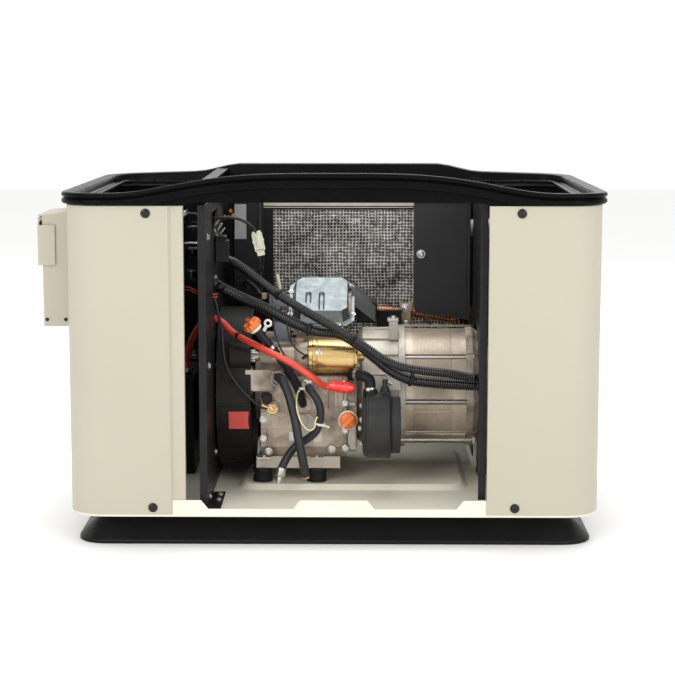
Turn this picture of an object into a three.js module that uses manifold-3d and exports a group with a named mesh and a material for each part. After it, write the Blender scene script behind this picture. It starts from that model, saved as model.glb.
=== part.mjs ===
// A home standby generator with its roof lid and front access panel taken off: enclosure, mounting pad,
// control bay, single-cylinder engine, alternator, exhaust, hoses and looms.
// Millimetres, +X right, +Y to the back, +Z up. The origin is the middle of the pad's underside.
import * as THREE from "three";
import { mergeVertices } from "three/addons/utils/BufferGeometryUtils.js";
import Module from "manifold-3d";

const wasm = await Module();
wasm.setup();

// ---- driving dimensions ----
const GAP = 0.3; // between pieces that touch

// enclosure
const BODY_X = 450; // half width over the end panels
const BODY_Y = 320; // half depth over the front and back
const CORNER = 58; // plan radius of the body corners
const SHEET = 2; // steel sheet
const PANEL_LOW = 57;
const PANEL_TOP = 578;
const BAY_LEFT = -250; // front opening
const BAY_RIGHT = 258;
const REAR_SEAM = 300; // half width of the back panel
const PAD_TOP = 52;
const FLOOR_Z = 62; // top of the pan's floor
const DECK_Z = 71; // top of the raised engine deck
const LIP_LOW = 66; // front lip of the pan, between its raised tabs
const LIP_HIGH = 81;
const RIM_OVER = 8; // how far the rim's lip stands outside the body
const RIM_LOW = PANEL_TOP + GAP;
const DIVIDER_Y = 300; // half depth of the two dividers
const DIVIDER_LEFT = -215;
const DIVIDER_RIGHT = 256;

// side box
const BOX_X = -500;
const BOX_FRONT = -215;
const BOX_BACK = -85;
const BOX_LOW = 363;
const BOX_TOP = 553;
const FLAP_LOW = 469;
const FLAP_HINGE = new THREE.Vector3(-504.5, 0, 548);
const KNUCKLE_R = 3.8;
const KNUCKLE_Y = [-168, -132]; // the box's knuckle, between the flap's two
const PIN_R = 1.5;
const PIN_HOLE_R = 1.9;
const BREAKER = { x: [-490, -456], y: [-175, -125], z: [478, 540] };

// engine and alternator, all on one shaft along X
const SHAFT_Z = 225;
const SHAFT_R = 15;
const CASE_LEFT = -146;
const CASE_RIGHT = 38;
const CASE_LOW = 118;
const CASE_TOP = 314;
const CASE_FRONT = -130;
const CASE_BACK = 120;
const BORE_X = -30; // cylinder axis
const BORE_R = 38;
const PISTON_LOW = 266; // underside of the piston at the bottom of its stroke
const PISTON_TALL = 34;
const STROKE = 50;
const CRANK_THROW = 25;
const FAN_LEFT = -211;
const FAN_RIGHT = -149;
const FAN_R = 145;
const FLYWHEEL_R = 118;
const RING_GEAR_R = 125;
const STARTER_Y = -118;
const STARTER_Z = 297;
const STARTER_R = 31;
const CAM_Y = 38.4;
const CAM_Z = SHAFT_Z - 38.4;
const STATOR_LEFT = 125.3;
const STATOR_RIGHT = 234.7;
const STATOR_R = 106;
const RAIL_Y = 115; // half distance between the engine's foot rails
const RAIL_LOW = 96;
const MOUNT_X = [-129.5, -33];
const BATTERY = { x: [-434, -261], y: [-20, 188], z: [FLOOR_Z + GAP, 259] };

// ---- materials ----
const paint = (color, roughness, metalness = 0) =>
  new THREE.MeshStandardMaterial({ color, roughness, metalness });
const cream = paint(0xd8d0bc, 0.5);
const pan = paint(0xe2dccb, 0.5);
const blackPlastic = paint(0x17181a, 0.55);
const blackSteel = paint(0x202226, 0.45);
const castAluminium = paint(0xa39c92, 0.5, 0.8);
const zincYellow = paint(0xcfa24c, 0.3, 0.9);
const galvanised = paint(0x9aa8ad, 0.35, 0.9);
const foil = paint(0xa7a39c, 0.3, 0.9);
const steel = paint(0x8f8f8f, 0.35, 0.9);
const rubber = paint(0x191a1c, 0.8);
const orange = paint(0xe66a24, 0.45);
const redCable = paint(0xd6452f, 0.5);
const rust = paint(0x7a4630, 0.6, 0.6);
const copper = paint(0xa3602f, 0.4, 0.8);
const whitePlastic = paint(0xd9d6c4, 0.5);

// ---- shapes ----
const v2 = (x, y) => new THREE.Vector2(x, y);
const v3 = (x, y, z) => new THREE.Vector3(x, y, z);

// A rectangular block between two corners.
function block(x0, x1, y0, y1, z0, z1) {
  const g = new THREE.BoxGeometry(x1 - x0, y1 - y0, z1 - z0);
  return g.translate((x0 + x1) / 2, (y0 + y1) / 2, (z0 + z1) / 2);
}

// A round bar from one point to another along a coordinate axis.
function bar(axis, radius, from, to, a, b, sides = 16) {
  const g = new THREE.CylinderGeometry(radius, radius, to - from, sides);
  const middle = (from + to) / 2;
  if (axis === "x") return g.rotateZ(-Math.PI / 2).translate(middle, a, b);
  if (axis === "y") return g.translate(a, middle, b);
  return g.rotateX(Math.PI / 2).translate(a, b, middle);
}

// A profile of [distance along X, radius] turned about the line y = a, z = b.
function turned(profile, a, b, sides = 24) {
  const points = profile.map(([along, radius]) => v2(radius, along));
  return new THREE.LatheGeometry(points, sides).rotateZ(-Math.PI / 2).translate(0, a, b);
}

// An outline in a coordinate plane, given thickness along the third axis.
function plate(plane, outline, from, to) {
  const shape = new THREE.Shape(outline.map(([a, b]) => v2(a, b)));
  const g = new THREE.ExtrudeGeometry(shape, { depth: to - from, bevelEnabled: false });
  if (plane === "xy") return g.translate(0, 0, from);
  if (plane === "xz") return g.rotateX(Math.PI / 2).translate(0, to, 0);
  return g.rotateY(Math.PI / 2).rotateX(Math.PI / 2).translate(from, 0, 0);
}

// A rounded rectangle about the origin, anticlockwise from its lower right corner.
function roundedOutline(halfX, halfY, radius, steps = 5) {
  const centres = [[1, -1], [1, 1], [-1, 1], [-1, -1]];
  return centres.flatMap(([sx, sy], corner) =>
    Array.from({ length: steps + 1 }, (_, i) => {
      const turn = (corner - 1 + i / steps) * (Math.PI / 2);
      return [
        sx * (halfX - radius) + radius * Math.cos(turn),
        sy * (halfY - radius) + radius * Math.sin(turn),
      ];
    }),
  );
}

// A ribbon of sheet whose middle follows an open line of [x, y] points.
function ribbon(line, thickness) {
  const side = (sign) =>
    line.map(([x, y], i) => {
      const before = line[Math.max(i - 1, 0)];
      const after = line[Math.min(i + 1, line.length - 1)];
      const into = v2(x - before[0], y - before[1]).normalize();
      const out = v2(after[0] - x, after[1] - y).normalize();
      const along = into.clone().add(out).normalize();
      const mitre = 1 / Math.max(0.5, along.dot(into.length() ? into : out));
      const offset = (sign * thickness * mitre) / 2;
      return [x - along.y * offset, y + along.x * offset];
    });
  return [...side(-1), ...side(1).reverse()];
}

// Points of an arc, angles in degrees.
function arc(cx, cy, radius, from, to, steps = 5) {
  return Array.from({ length: steps + 1 }, (_, i) => {
    const turn = THREE.MathUtils.degToRad(from + ((to - from) * i) / steps);
    return [cx + radius * Math.cos(turn), cy + radius * Math.sin(turn)];
  });
}

function fromFaces(points, faces) {
  const g = new THREE.BufferGeometry();
  g.setAttribute("position", new THREE.Float32BufferAttribute(points.flat(), 3));
  g.setIndex(faces.flat());
  return g;
}

// A closed solid through outlines with as many points each, lowest first: [[outline, z], ...].
function loft(levels) {
  const n = levels[0][0].length;
  const points = levels.flatMap(([outline, z]) => outline.map(([x, y]) => [x, y, z]));
  const faces = [];
  for (let k = 0; k + 1 < levels.length; k++)
    for (let i = 0; i < n; i++) {
      const j = (i + 1) % n;
      const low = k * n;
      const high = low + n;
      faces.push([low + i, low + j, high + j], [low + i, high + j, high + i]);
    }
  const top = (levels.length - 1) * n;
  for (let i = 1; i + 1 < n; i++) faces.push([0, i + 1, i], [top, top + i, top + i + 1]);
  return fromFaces(points, faces);
}

// A ring whose section changes as it goes round: a list of sections of [x, y, z] points.
function ring(sections) {
  const n = sections[0].length;
  const m = sections.length;
  const faces = [];
  for (let k = 0; k < m; k++)
    for (let i = 0; i < n; i++) {
      const a = k * n + i;
      const b = k * n + ((i + 1) % n);
      const c = ((k + 1) % m) * n + ((i + 1) % n);
      const d = ((k + 1) % m) * n + i;
      faces.push([a, b, c], [a, c, d]);
    }
  return fromFaces(sections.flat(), faces);
}

// A round cord through hand-placed points.
function cord(points, radius, steps, sides = 8) {
  const curve = new THREE.CatmullRomCurve3(points.map(([x, y, z]) => v3(x, y, z)), false, "centripetal");
  const section = new THREE.Shape(
    Array.from({ length: sides }, (_, i) => {
      const turn = (i / sides) * 2 * Math.PI;
      return v2(radius * Math.cos(turn), radius * Math.sin(turn));
    }),
  );
  return new THREE.ExtrudeGeometry(section, { steps, bevelEnabled: false, extrudePath: curve });
}

// ---- joins and cuts ----
function solid(geometry) {
  const g = geometry.clone();
  g.deleteAttribute("normal");
  g.deleteAttribute("uv");
  const merged = mergeVertices(g, 1e-3);
  const vertProperties = merged.attributes.position.array;
  const triVerts = new Uint32Array(merged.index.array);
  return new wasm.Manifold(new wasm.Mesh({ numProp: 3, vertProperties, triVerts }));
}

function surface(manifold) {
  const mesh = manifold.getMesh();
  const g = new THREE.BufferGeometry();
  g.setAttribute("position", new THREE.BufferAttribute(mesh.vertProperties, 3));
  g.setIndex(new THREE.BufferAttribute(mesh.triVerts, 1));
  g.computeVertexNormals();
  return g;
}

const joined = (parts) => parts.map(solid).reduce((a, b) => a.add(b));
const shaped = (adds, cuts = []) =>
  surface(cuts.map(solid).reduce((a, b) => a.subtract(b), joined(adds)));

// ---- enclosure ----
const bodyOutline = (inset) =>
  roundedOutline(BODY_X - inset, BODY_Y - inset, CORNER - inset);

function mountingPad() {
  const foot = roundedOutline(440, 297, 50);
  const shoulder = roundedOutline(400, 258, 44);
  const top = roundedOutline(395, 253, 40);
  const body = loft([[foot, 0], [foot, 6], [shoulder, 46], [top, PAD_TOP]]);
  const rib = 14;
  const pockets = [-1, 1].flatMap((sx) =>
    [-1, 1].map((sy) =>
      block(
        Math.min(sx * rib, sx * 360), Math.max(sx * rib, sx * 360),
        Math.min(sy * rib, sy * 225), Math.max(sy * rib, sy * 225),
        -1, 42,
      ),
    ),
  );
  return shaped([body], pockets);
}

function basePan() {
  const low = PAD_TOP + GAP;
  const outer = bodyOutline(3);
  const inner = bodyOutline(5.5);
  const walls = loft([[outer, low], [outer, LIP_LOW]]);
  const above = loft([[inner, FLOOR_Z], [inner, LIP_LOW + 1]]);
  const below = loft([[inner, low - 1], [inner, FLOOR_Z - 3]]);
  const lip = plate("xz", [
    [-330, 60], [330, 60], [330, LIP_HIGH], [219, LIP_HIGH], [207, LIP_LOW], [69, LIP_LOW],
    [57, LIP_HIGH], [-57, LIP_HIGH], [-69, LIP_LOW], [-212, LIP_LOW], [-224, LIP_HIGH], [-330, LIP_HIGH],
  ], 3 - BODY_Y, 5.5 - BODY_Y);
  const deckOutline = (inset) =>
    roundedOutline(206 - inset, 178 - inset, 40 - inset).map(([x, y]) => [x + 32, y + 24]);
  const deck = loft([[deckOutline(0), FLOOR_Z - 1], [deckOutline(12), DECK_Z]]);
  const deckPocket = loft([[deckOutline(3), FLOOR_Z - 4], [deckOutline(15), DECK_Z - 3]]);
  const runners = [-300, 300].map((x) => block(x - 16, x + 16, -245, 245, low, FLOOR_Z - 2));
  const tray = solid(walls).subtract(solid(above)).subtract(solid(below)).add(solid(lip));
  return surface([deck, ...runners].map(solid).reduce((a, b) => a.add(b), tray).subtract(solid(deckPocket)));
}

// Rows of air slots through an end panel, side -1 for the left one.
function airSlots(side, rows, fromZ, columns) {
  const slots = [];
  for (let row = 0; row < rows; row++)
    for (const y of columns)
      slots.push(
        block(
          side * BODY_X - 10, side * BODY_X + 10,
          y - 45, y + 45, fromZ + row * 36, fromZ + row * 36 + 10,
        ),
      );
  return slots;
}

const screwPlaces = [[-311, 566], [311, 566], [-305, 69], [305, 69]];
const screwHoles = () => screwPlaces.map(([x, z]) => bar("y", 3, -BODY_Y - 3, -BODY_Y + 3, x, z, 8));

function leftEndPanel() {
  const mid = SHEET / 2;
  const face = BODY_Y - mid;
  const line = [
    [BAY_LEFT - mid, -DIVIDER_Y], [BAY_LEFT - mid, -face + 5], [BAY_LEFT - 20, -face + 5],
    [BAY_LEFT - 25, -face],
    ...arc(-BODY_X + CORNER, -BODY_Y + CORNER, CORNER - mid, 270, 180),
    ...arc(-BODY_X + CORNER, BODY_Y - CORNER, CORNER - mid, 180, 90),
    [-REAR_SEAM - GAP, face],
  ];
  const wrap = plate("xy", ribbon(line, SHEET), PANEL_LOW, PANEL_TOP);
  const lipNotch = block(-300, BAY_LEFT + 1, 2.3 - BODY_Y, -DIVIDER_Y + 1, PANEL_LOW - 1, LIP_HIGH + GAP);
  return shaped([wrap], [lipNotch, ...screwHoles(), ...airSlots(-1, 5, 150, [20, 140])]);
}

function rightEndPanel() {
  const mid = SHEET / 2;
  const face = BODY_Y - mid;
  const line = [
    [REAR_SEAM + GAP, face],
    ...arc(BODY_X - CORNER, BODY_Y - CORNER, CORNER - mid, 90, 0),
    ...arc(BODY_X - CORNER, -BODY_Y + CORNER, CORNER - mid, 0, -90),
    [BAY_RIGHT + mid, -face], [BAY_RIGHT + mid, -DIVIDER_Y - 4],
  ];
  const wrap = plate("xy", ribbon(line, SHEET), PANEL_LOW, PANEL_TOP);
  const lipNotch = block(BAY_RIGHT - 1, 300, 2.3 - BODY_Y, -DIVIDER_Y + 1, PANEL_LOW - 1, LIP_HIGH + GAP);
  return shaped([wrap], [lipNotch, ...screwHoles(), ...airSlots(1, 9, 150, [-60, 60])]);
}

function backPanel() {
  const line = [
    [REAR_SEAM - 1, BODY_Y - 14], [REAR_SEAM - 1, BODY_Y - 1], [-REAR_SEAM + 1, BODY_Y - 1],
    [-REAR_SEAM + 1, BODY_Y - 14],
  ];
  const wrap = plate("xy", ribbon(line, SHEET), PANEL_LOW, PANEL_TOP);
  const inner = BODY_Y - SHEET - GAP;
  const panNotch = block(-REAR_SEAM - 1, REAR_SEAM + 1, BODY_Y - 20, inner, PANEL_LOW - 1, LIP_LOW + GAP);
  return shaped([wrap], [panNotch]);
}

// The rim's lip rises to an arch in the middle of the front, and to a lower one at the back.
function rimTop(x, y) {
  const spread = y < 0 ? 370 : 290;
  const rise = y < 0 ? 33 : 16;
  const share = Math.min(1, Math.abs(x) / spread);
  const arch = 0.5 + 0.5 * Math.cos(Math.PI * share ** 1.35);
  return 599.5 + (Math.abs(y) > BODY_Y - CORNER ? rise * arch : 0);
}

function topRim() {
  const stations = [];
  const corners = roundedOutline(BODY_X, BODY_Y, CORNER);
  corners.forEach(([x, y], i) => {
    stations.push([x, y]);
    const [nx, ny] = corners[(i + 1) % corners.length];
    const long = Math.hypot(nx - x, ny - y);
    const parts = long > 400 && Math.abs(y) > 300 ? 14 : 1;
    for (let k = 1; k < parts; k++) stations.push([x + ((nx - x) * k) / parts, y + ((ny - y) * k) / parts]);
  });
  const inward = ([x, y]) => {
    const cx = THREE.MathUtils.clamp(x, CORNER - BODY_X, BODY_X - CORNER);
    const cy = THREE.MathUtils.clamp(y, CORNER - BODY_Y, BODY_Y - CORNER);
    const long = Math.hypot(x - cx, y - cy) || 1;
    return [(cx - x) / long, (cy - y) / long];
  };
  const sections = stations.map(([x, y]) => {
    const [ix, iy] = inward([x, y]);
    const top = rimTop(x, y);
    const profile = [
      [0, RIM_LOW], [0, top - 13], [-RIM_OVER, top - 11], [-RIM_OVER, top - 2], [-RIM_OVER + 3, top],
      [14, top], [17, top - 3], [34, RIM_LOW + 6], [34, RIM_LOW],
    ];
    return profile.map(([inset, z]) => [x + ix * inset, y + iy * inset, z]).reverse();
  });
  const crossbar = block(-236, -214, -BODY_Y + 25, BODY_Y - 25, 586, 594);
  return shaped([ring(sections), crossbar]);
}

function leftDivider() {
  const sheet = block(DIVIDER_LEFT - 1, DIVIDER_LEFT + 1, -DIVIDER_Y, DIVIDER_Y, FLOOR_Z + GAP, PANEL_TOP);
  const flange = block(DIVIDER_LEFT - 12, DIVIDER_LEFT, -DIVIDER_Y, -DIVIDER_Y + 2, FLOOR_Z + GAP, PANEL_TOP);
  const foot = block(DIVIDER_LEFT, DIVIDER_LEFT + 23, -DIVIDER_Y, -175, FLOOR_Z + GAP, FLOOR_Z + GAP + 2);
  const airHole = bar("x", 100, DIVIDER_LEFT - 5, DIVIDER_LEFT + 5, 0, SHAFT_Z, 32);
  const loomHole = block(DIVIDER_LEFT - 5, DIVIDER_LEFT + 5, -160, -40, 336, 556);
  return shaped([sheet, flange, foot], [airHole, loomHole]);
}

function rightDivider() {
  const low = LIP_HIGH - 2;
  const sheet = block(DIVIDER_RIGHT - 1, DIVIDER_RIGHT + 1, -DIVIDER_Y, DIVIDER_Y, low, PANEL_TOP);
  const flange = block(DIVIDER_RIGHT - 12, DIVIDER_RIGHT, -DIVIDER_Y, -DIVIDER_Y + 2, low, PANEL_TOP);
  const alternatorHole = bar("x", 116, DIVIDER_RIGHT - 5, DIVIDER_RIGHT + 5, 0, SHAFT_Z, 32);
  const mountHole = block(DIVIDER_RIGHT - 5, DIVIDER_RIGHT + 5, -70, 70, low - 1, SHAFT_Z);
  const muffler = block(DIVIDER_RIGHT - 5, DIVIDER_RIGHT + 5, 105, 235, 350, 565);
  return shaped([sheet, flange], [alternatorHole, mountHole, muffler]);
}

function panelScrew(x, z) {
  const face = -BODY_Y - GAP;
  const washer = bar("y", 8, face - 1.4, face, x, z, 14);
  const head = bar("y", 5.2, face - 4.5, face - 1, x, z, 8);
  const shank = bar("y", 2.5, face - 1, face + 2.6, x, z, 8);
  return shaped([washer, head, shank]);
}

const backInsulation = () =>
  block(-190, 250, BODY_Y - 24, BODY_Y - SHEET - GAP, 120, 562);

// ---- side box with the main breaker ----
function breakerBox() {
  const wall = 2.5;
  const inside = -BODY_X - GAP;
  const body = plate("xz", [
    [BOX_X, BOX_LOW], [inside, BOX_LOW], [inside, BOX_TOP + 8], [BOX_X - 7, BOX_TOP + 2],
    [BOX_X - 7, BOX_TOP], [BOX_X, BOX_TOP],
  ], BOX_FRONT, BOX_BACK);
  const hollow = block(
    BOX_X + wall, inside - wall, BOX_FRONT + wall, BOX_BACK - wall, BOX_LOW + wall, BOX_TOP - wall,
  );
  const window = block(BOX_X - 5, BOX_X + 10, BOX_FRONT + 14, BOX_BACK - 14, FLAP_LOW + 8, BOX_TOP - 16);
  const knuckle = bar("y", KNUCKLE_R, ...KNUCKLE_Y, FLAP_HINGE.x, FLAP_HINGE.z, 12);
  const web = block(FLAP_HINGE.x, BOX_X + 1, ...KNUCKLE_Y, FLAP_HINGE.z - 2, FLAP_HINGE.z + 3);
  const pinHole = bar("y", PIN_HOLE_R, KNUCKLE_Y[0] - 2, KNUCKLE_Y[1] + 2, FLAP_HINGE.x, FLAP_HINGE.z, 12);
  const conduitHole = bar("z", 11, BOX_LOW - 5, BOX_LOW + 5, -476, -185);
  return shaped([body, knuckle, web], [hollow, window, pinHole, conduitHole]);
}

function breakerBoxFlap() {
  const outer = FLAP_HINGE.x - 2.7;
  const skin = block(outer, outer + 2.5, BOX_FRONT - 4, BOX_BACK + 4, FLAP_LOW, FLAP_HINGE.z - 4.4);
  const cheek = (y) => block(outer, BOX_X + 22, y, y + 2.5, FLAP_LOW, FLAP_HINGE.z - 10);
  const knuckle = (y0, y1) => [
    bar("y", KNUCKLE_R, y0, y1, FLAP_HINGE.x, FLAP_HINGE.z, 12),
    block(outer + 0.4, outer + 2.5, y0, y1, FLAP_HINGE.z - 6, FLAP_HINGE.z),
  ];
  const pinHole = bar("y", PIN_HOLE_R, BOX_FRONT - 6, BOX_BACK + 6, FLAP_HINGE.x, FLAP_HINGE.z, 12);
  const knuckles = [
    ...knuckle(BOX_FRONT + 5, KNUCKLE_Y[0] - 0.5),
    ...knuckle(KNUCKLE_Y[1] + 0.5, BOX_BACK - 5),
  ];
  return shaped(
    [skin, cheek(BOX_FRONT - 4), cheek(BOX_BACK + 1.5), ...knuckles],
    [pinHole],
  );
}

const flapHingePin = () =>
  bar("y", PIN_R, BOX_FRONT + 3, BOX_BACK - 3, FLAP_HINGE.x, FLAP_HINGE.z, 12);

function mainBreaker() {
  const { x, y, z } = BREAKER;
  const body = block(...x, ...y, ...z);
  const nose = block(x[0] - 4, x[0] + 1, y[0] + 13, y[1] - 13, z[0] + 14, z[1] - 14);
  const slot = block(x[0] - 6, x[0] + 12, y[0] + 20, y[1] - 20, z[0] + 20, z[1] - 20);
  return shaped([body, nose], [slot]);
}

function breakerToggle() {
  const lever = [[-498, 512], [-486, 504.5], [-482, 508], [-483.5, 513.5], [-496, 517.5]];
  return plate("xz", lever, -153, -147);
}

// ---- control bay ----
function battery() {
  const { x, y, z } = BATTERY;
  const body = block(...x, ...y, z[0], z[1] - 20);
  const cover = block(x[0] - 2, x[1] + 2, y[0] - 2, y[1] + 2, z[1] - 22, z[1] - 14);
  const lid = block(x[0] + 26, x[1] - 26, y[0] + 6, y[1] - 6, z[1] - 15, z[1] - 4);
  const posts = [y[0] + 24, y[1] - 24].map((at) => bar("z", 8, z[1] - 16, z[1], x[1] - 14, at, 12));
  return shaped([body, cover, lid, ...posts]);
}

const CONTROLLER = { x: [-436, -262], y: [-200, -100], z: [430, 548] };
const SWITCH = { x: -318, y: -150, z: 552 };
function controllerBox() {
  const { x, y, z } = CONTROLLER;
  const body = block(...x, ...y, ...z);
  const face = block(x[0] - 4, x[1] + 4, y[0] - 4, y[1] + 4, z[1] - 1, SWITCH.z);
  const well = block(SWITCH.x - 13, SWITCH.x + 13, SWITCH.y - 9, SWITCH.y + 9, 538, 560);
  return shaped([body, face], [well]);
}

// A rocker that turns about a line along X.
function modeSwitch() {
  const outline = [[-7, 9], [0, 5.5], [7, 7], [6, -2], [0, -4], [-6, -2]];
  const moved = outline.map(([y, z]) => [y + SWITCH.y, z + SWITCH.z - 4]);
  return plate("yz", moved, SWITCH.x - 12, SWITCH.x + 12);
}

const ignitionBox = () =>
  shaped([block(-196, -146, 140, 196, 362, 560), block(-200, -142, 196, 199, 370, 552)]);

// ---- engine ----
function crankcase() {
  const outline = [
    [CASE_FRONT + 14, CASE_LOW], [CASE_BACK - 14, CASE_LOW], [CASE_BACK, CASE_LOW + 18],
    [CASE_BACK, CASE_TOP - 40], [CASE_BACK - 40, CASE_TOP], [-80, CASE_TOP], [-80, 268],
    [CASE_FRONT, 262], [CASE_FRONT, CASE_LOW + 18],
  ];
  const body = plate("yz", outline, CASE_LEFT + 14, CASE_RIGHT - 18);
  const smaller = outline.map(([y, z]) => [y * 0.95, SHAFT_Z + (z - SHAFT_Z) * 0.95]);
  const cover = plate("yz", smaller, CASE_RIGHT - 20, CASE_RIGHT);
  const collar = bar("x", 62, CASE_LEFT, CASE_LEFT + 16, 0, SHAFT_Z, 24);
  const fillBoss = bar("y", 14, -149, -124, 23, 188, 20);
  const stud = bar("y", 4, -150, -124, -111, 207, 10);
  const cavity = plate("yz", [
    [-100, 140], [98, 140], [106, 160], [106, 262], [70, 300], [-66, 300], [-66, 256], [-114, 250],
    [-114, 160],
  ], CASE_LEFT + 26, CASE_RIGHT - 24);
  const bore = bar("z", BORE_R + 0.6, 290, CASE_TOP + 2, BORE_X, 0, 24);
  const shaft = bar("x", SHAFT_R + 0.6, CASE_LEFT - 5, CASE_RIGHT + 5, 0, SHAFT_Z, 20);
  return shaped([body, cover, collar, fillBoss, stud], [cavity, bore, shaft]);
}

// The cylinder with its head; the head's top slopes down to the front.
const COVER_TALL = 23;
const HEAD_LINE = [[-66, 341], [50, 409]];
function cylinder() {
  const outline = [
    [-58, CASE_TOP + GAP], [58, CASE_TOP + GAP], [58, 400], [44, 404],
    [-62, 342], [-66, 334], [-58, 330],
  ];
  const body = plate("yz", outline, BORE_X - 50, BORE_X + 50);
  const bore = bar("z", BORE_R + 0.5, CASE_TOP - 5, PISTON_LOW + PISTON_TALL + STROKE + 1.5, BORE_X, 0, 24);
  const slots = Array.from({ length: 5 }, (_, i) => {
    const z = CASE_TOP + 8 + i * 9;
    return [
      block(BORE_X - 60, BORE_X - 42, -70, 70, z, z + 4),
      block(BORE_X + 42, BORE_X + 60, -70, 70, z, z + 4),
    ];
  }).flat();
  return shaped([body], [bore, ...slots]);
}

function rockerCover() {
  const [low, high] = HEAD_LINE;
  const slope = Math.atan2(high[1] - low[1], high[0] - low[0]);
  const long = Math.hypot(high[1] - low[1], high[0] - low[0]);
  const octagon = (halfX, halfY, cut) => [
    [halfX, -halfY + cut], [halfX, halfY - cut], [halfX - cut, halfY], [-halfX + cut, halfY],
    [-halfX, halfY - cut], [-halfX, -halfY + cut], [-halfX + cut, -halfY], [halfX - cut, -halfY],
  ];
  const channel = (x, y, half, radius) => [...Array(12).keys()].map((i) => {
    const turn = (i < 6 ? i / 5 : 1 + (i - 6) / 5) * Math.PI;
    return [x + radius * Math.cos(turn), y + (i < 6 ? half : -half) + radius * Math.sin(turn)];
  });
  const pressed = (x, y, half) => loft([
    [channel(x, y, half - 1, 3), COVER_TALL - 5], [channel(x, y, half, 6), COVER_TALL + 2],
  ]);
  const flange = loft([[octagon(60, long / 2, 15), 0], [octagon(60, long / 2, 15), 2.5]]);
  const dish = loft([[octagon(53, long / 2 - 8, 14), 2], [octagon(47, long / 2 - 17, 11), COVER_TALL]]);
  const cover = shaped([flange, dish], [pressed(-24, -11, 13), pressed(0, -21, 23)]);
  cover.rotateX(slope);
  const lift = 2.4; // clear of the head
  return cover.translate(
    BORE_X + 4,
    (low[0] + high[0]) / 2 - lift * Math.sin(slope),
    (low[1] + high[1]) / 2 + lift * Math.cos(slope),
  );
}

function blowerHousing() {
  const outer = bar("x", FAN_R, FAN_LEFT, FAN_RIGHT, 0, SHAFT_Z, 32);
  const nose = bar("x", 25, FAN_LEFT + 24, FAN_RIGHT, STARTER_Y, STARTER_Z, 16);
  const inner = bar("x", FAN_R - 4, FAN_LEFT + 3, FAN_RIGHT + 5, 0, SHAFT_Z, 32);
  const noseInner = bar("x", 21.5, FAN_LEFT + 27, FAN_RIGHT + 5, STARTER_Y, STARTER_Z, 16);
  const intake = bar("x", 84, FAN_LEFT - 5, FAN_LEFT + 5, 0, SHAFT_Z, 24);
  return shaped([outer, nose], [inner, noseInner, intake]);
}

function toothed(teeth, root, tip) {
  return Array.from({ length: teeth }, (_, i) =>
    [[0.1, root], [0.4, root], [0.6, tip], [0.9, tip]].map(([part, radius]) => {
      const turn = ((i + part) / teeth) * 2 * Math.PI;
      return [radius * Math.cos(turn), radius * Math.sin(turn)];
    }),
  ).flat();
}

const gear = (teeth, root, tip, x0, x1, y, z) =>
  plate("yz", toothed(teeth, root, tip).map(([a, b]) => [a + y, b + z]), x0, x1);

function flywheel() {
  const disc = bar("x", FLYWHEEL_R, -176, -163, 0, SHAFT_Z, 32);
  const hub = bar("x", 36, -190, -152, 0, SHAFT_Z, 16);
  const ringGear = gear(36, RING_GEAR_R - 4, RING_GEAR_R, -176, -167, 0, SHAFT_Z);
  const blades = Array.from({ length: 8 }, (_, i) =>
    block(-198, -175, 64, 110, -1.5, 1.5).rotateX((i / 8) * 2 * Math.PI).translate(0, 0, SHAFT_Z),
  );
  const bore = bar("x", SHAFT_R + GAP, -200, -140, 0, SHAFT_Z, 20);
  return shaped([disc, hub, ringGear, ...blades], [bore]);
}

function crankshaft() {
  const web = (x0, x1) => [
    bar("x", 30, x0, x1, 0, SHAFT_Z, 16),
    bar("x", 16, x0, x1, 0, SHAFT_Z + CRANK_THROW - 3, 12),
  ];
  const gearOnShaft = gear(12, 14, 17, 5, 12, 0, SHAFT_Z);
  const pin = bar("x", 12, -48, -12, 0, SHAFT_Z + CRANK_THROW, 12);
  return shaped([
    bar("x", SHAFT_R, -204, -56, 0, SHAFT_Z, 20), bar("x", SHAFT_R, -8, 296, 0, SHAFT_Z, 20),
    ...web(-60, -46), ...web(-14, 0), pin, gearOnShaft,
  ]);
}

function piston() {
  const skirt = bar("z", BORE_R, PISTON_LOW, PISTON_LOW + PISTON_TALL, BORE_X, 0, 24);
  const hollow = bar("z", BORE_R - 6, PISTON_LOW - 2, PISTON_LOW + PISTON_TALL - 7, BORE_X, 0, 16);
  return shaped([skirt], [hollow]);
}

function camGear() {
  const wheel = gear(24, 33, 36.4, 5, 12, CAM_Y, CAM_Z);
  const shaft = bar("x", 6, -112, 5.5, CAM_Y, CAM_Z, 10);
  const lobe = (x, turn) =>
    bar("x", 7, x - 5, x + 5, CAM_Y + 3 * Math.cos(turn), CAM_Z + 3 * Math.sin(turn), 10);
  return shaped([wheel, shaft, lobe(-88, 2), lobe(-72, 4)]);
}

function starterMotor() {
  const profile = [
    [-50, 0], [-50, STARTER_R - 2], [-45, STARTER_R], [38, STARTER_R], [41, STARTER_R - 3], [41, 9],
    [52, 9], [52, 0],
  ];
  const can = turned(profile, STARTER_Y, STARTER_Z, 24);
  const nose = bar("x", 17, -136, -49, STARTER_Y, STARTER_Z, 14);
  const bracket = block(-70, -56, -106, -82, 282, 326);
  const hollow = bar("x", 24, -40, 34, STARTER_Y, STARTER_Z, 16);
  const bore = bar("x", 6.8, -140, -35, STARTER_Y, STARTER_Z, 10);
  return shaped([can, nose, bracket], [hollow, bore]);
}

function starterArmature() {
  const shaft = bar("x", 6, -166, 30, STARTER_Y, STARTER_Z, 10);
  const core = bar("x", 22, -34, 22, STARTER_Y, STARTER_Z, 14);
  return shaped([shaft, core]);
}

function starterPinion() {
  const teeth = gear(9, 9.4, 12, -150, -142, STARTER_Y, STARTER_Z);
  const collar = bar("x", 9, -143, -137, STARTER_Y, STARTER_Z, 12);
  const bore = bar("x", 6.4, -152, -130, STARTER_Y, STARTER_Z, 10);
  return shaped([teeth, collar], [bore]);
}

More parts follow.
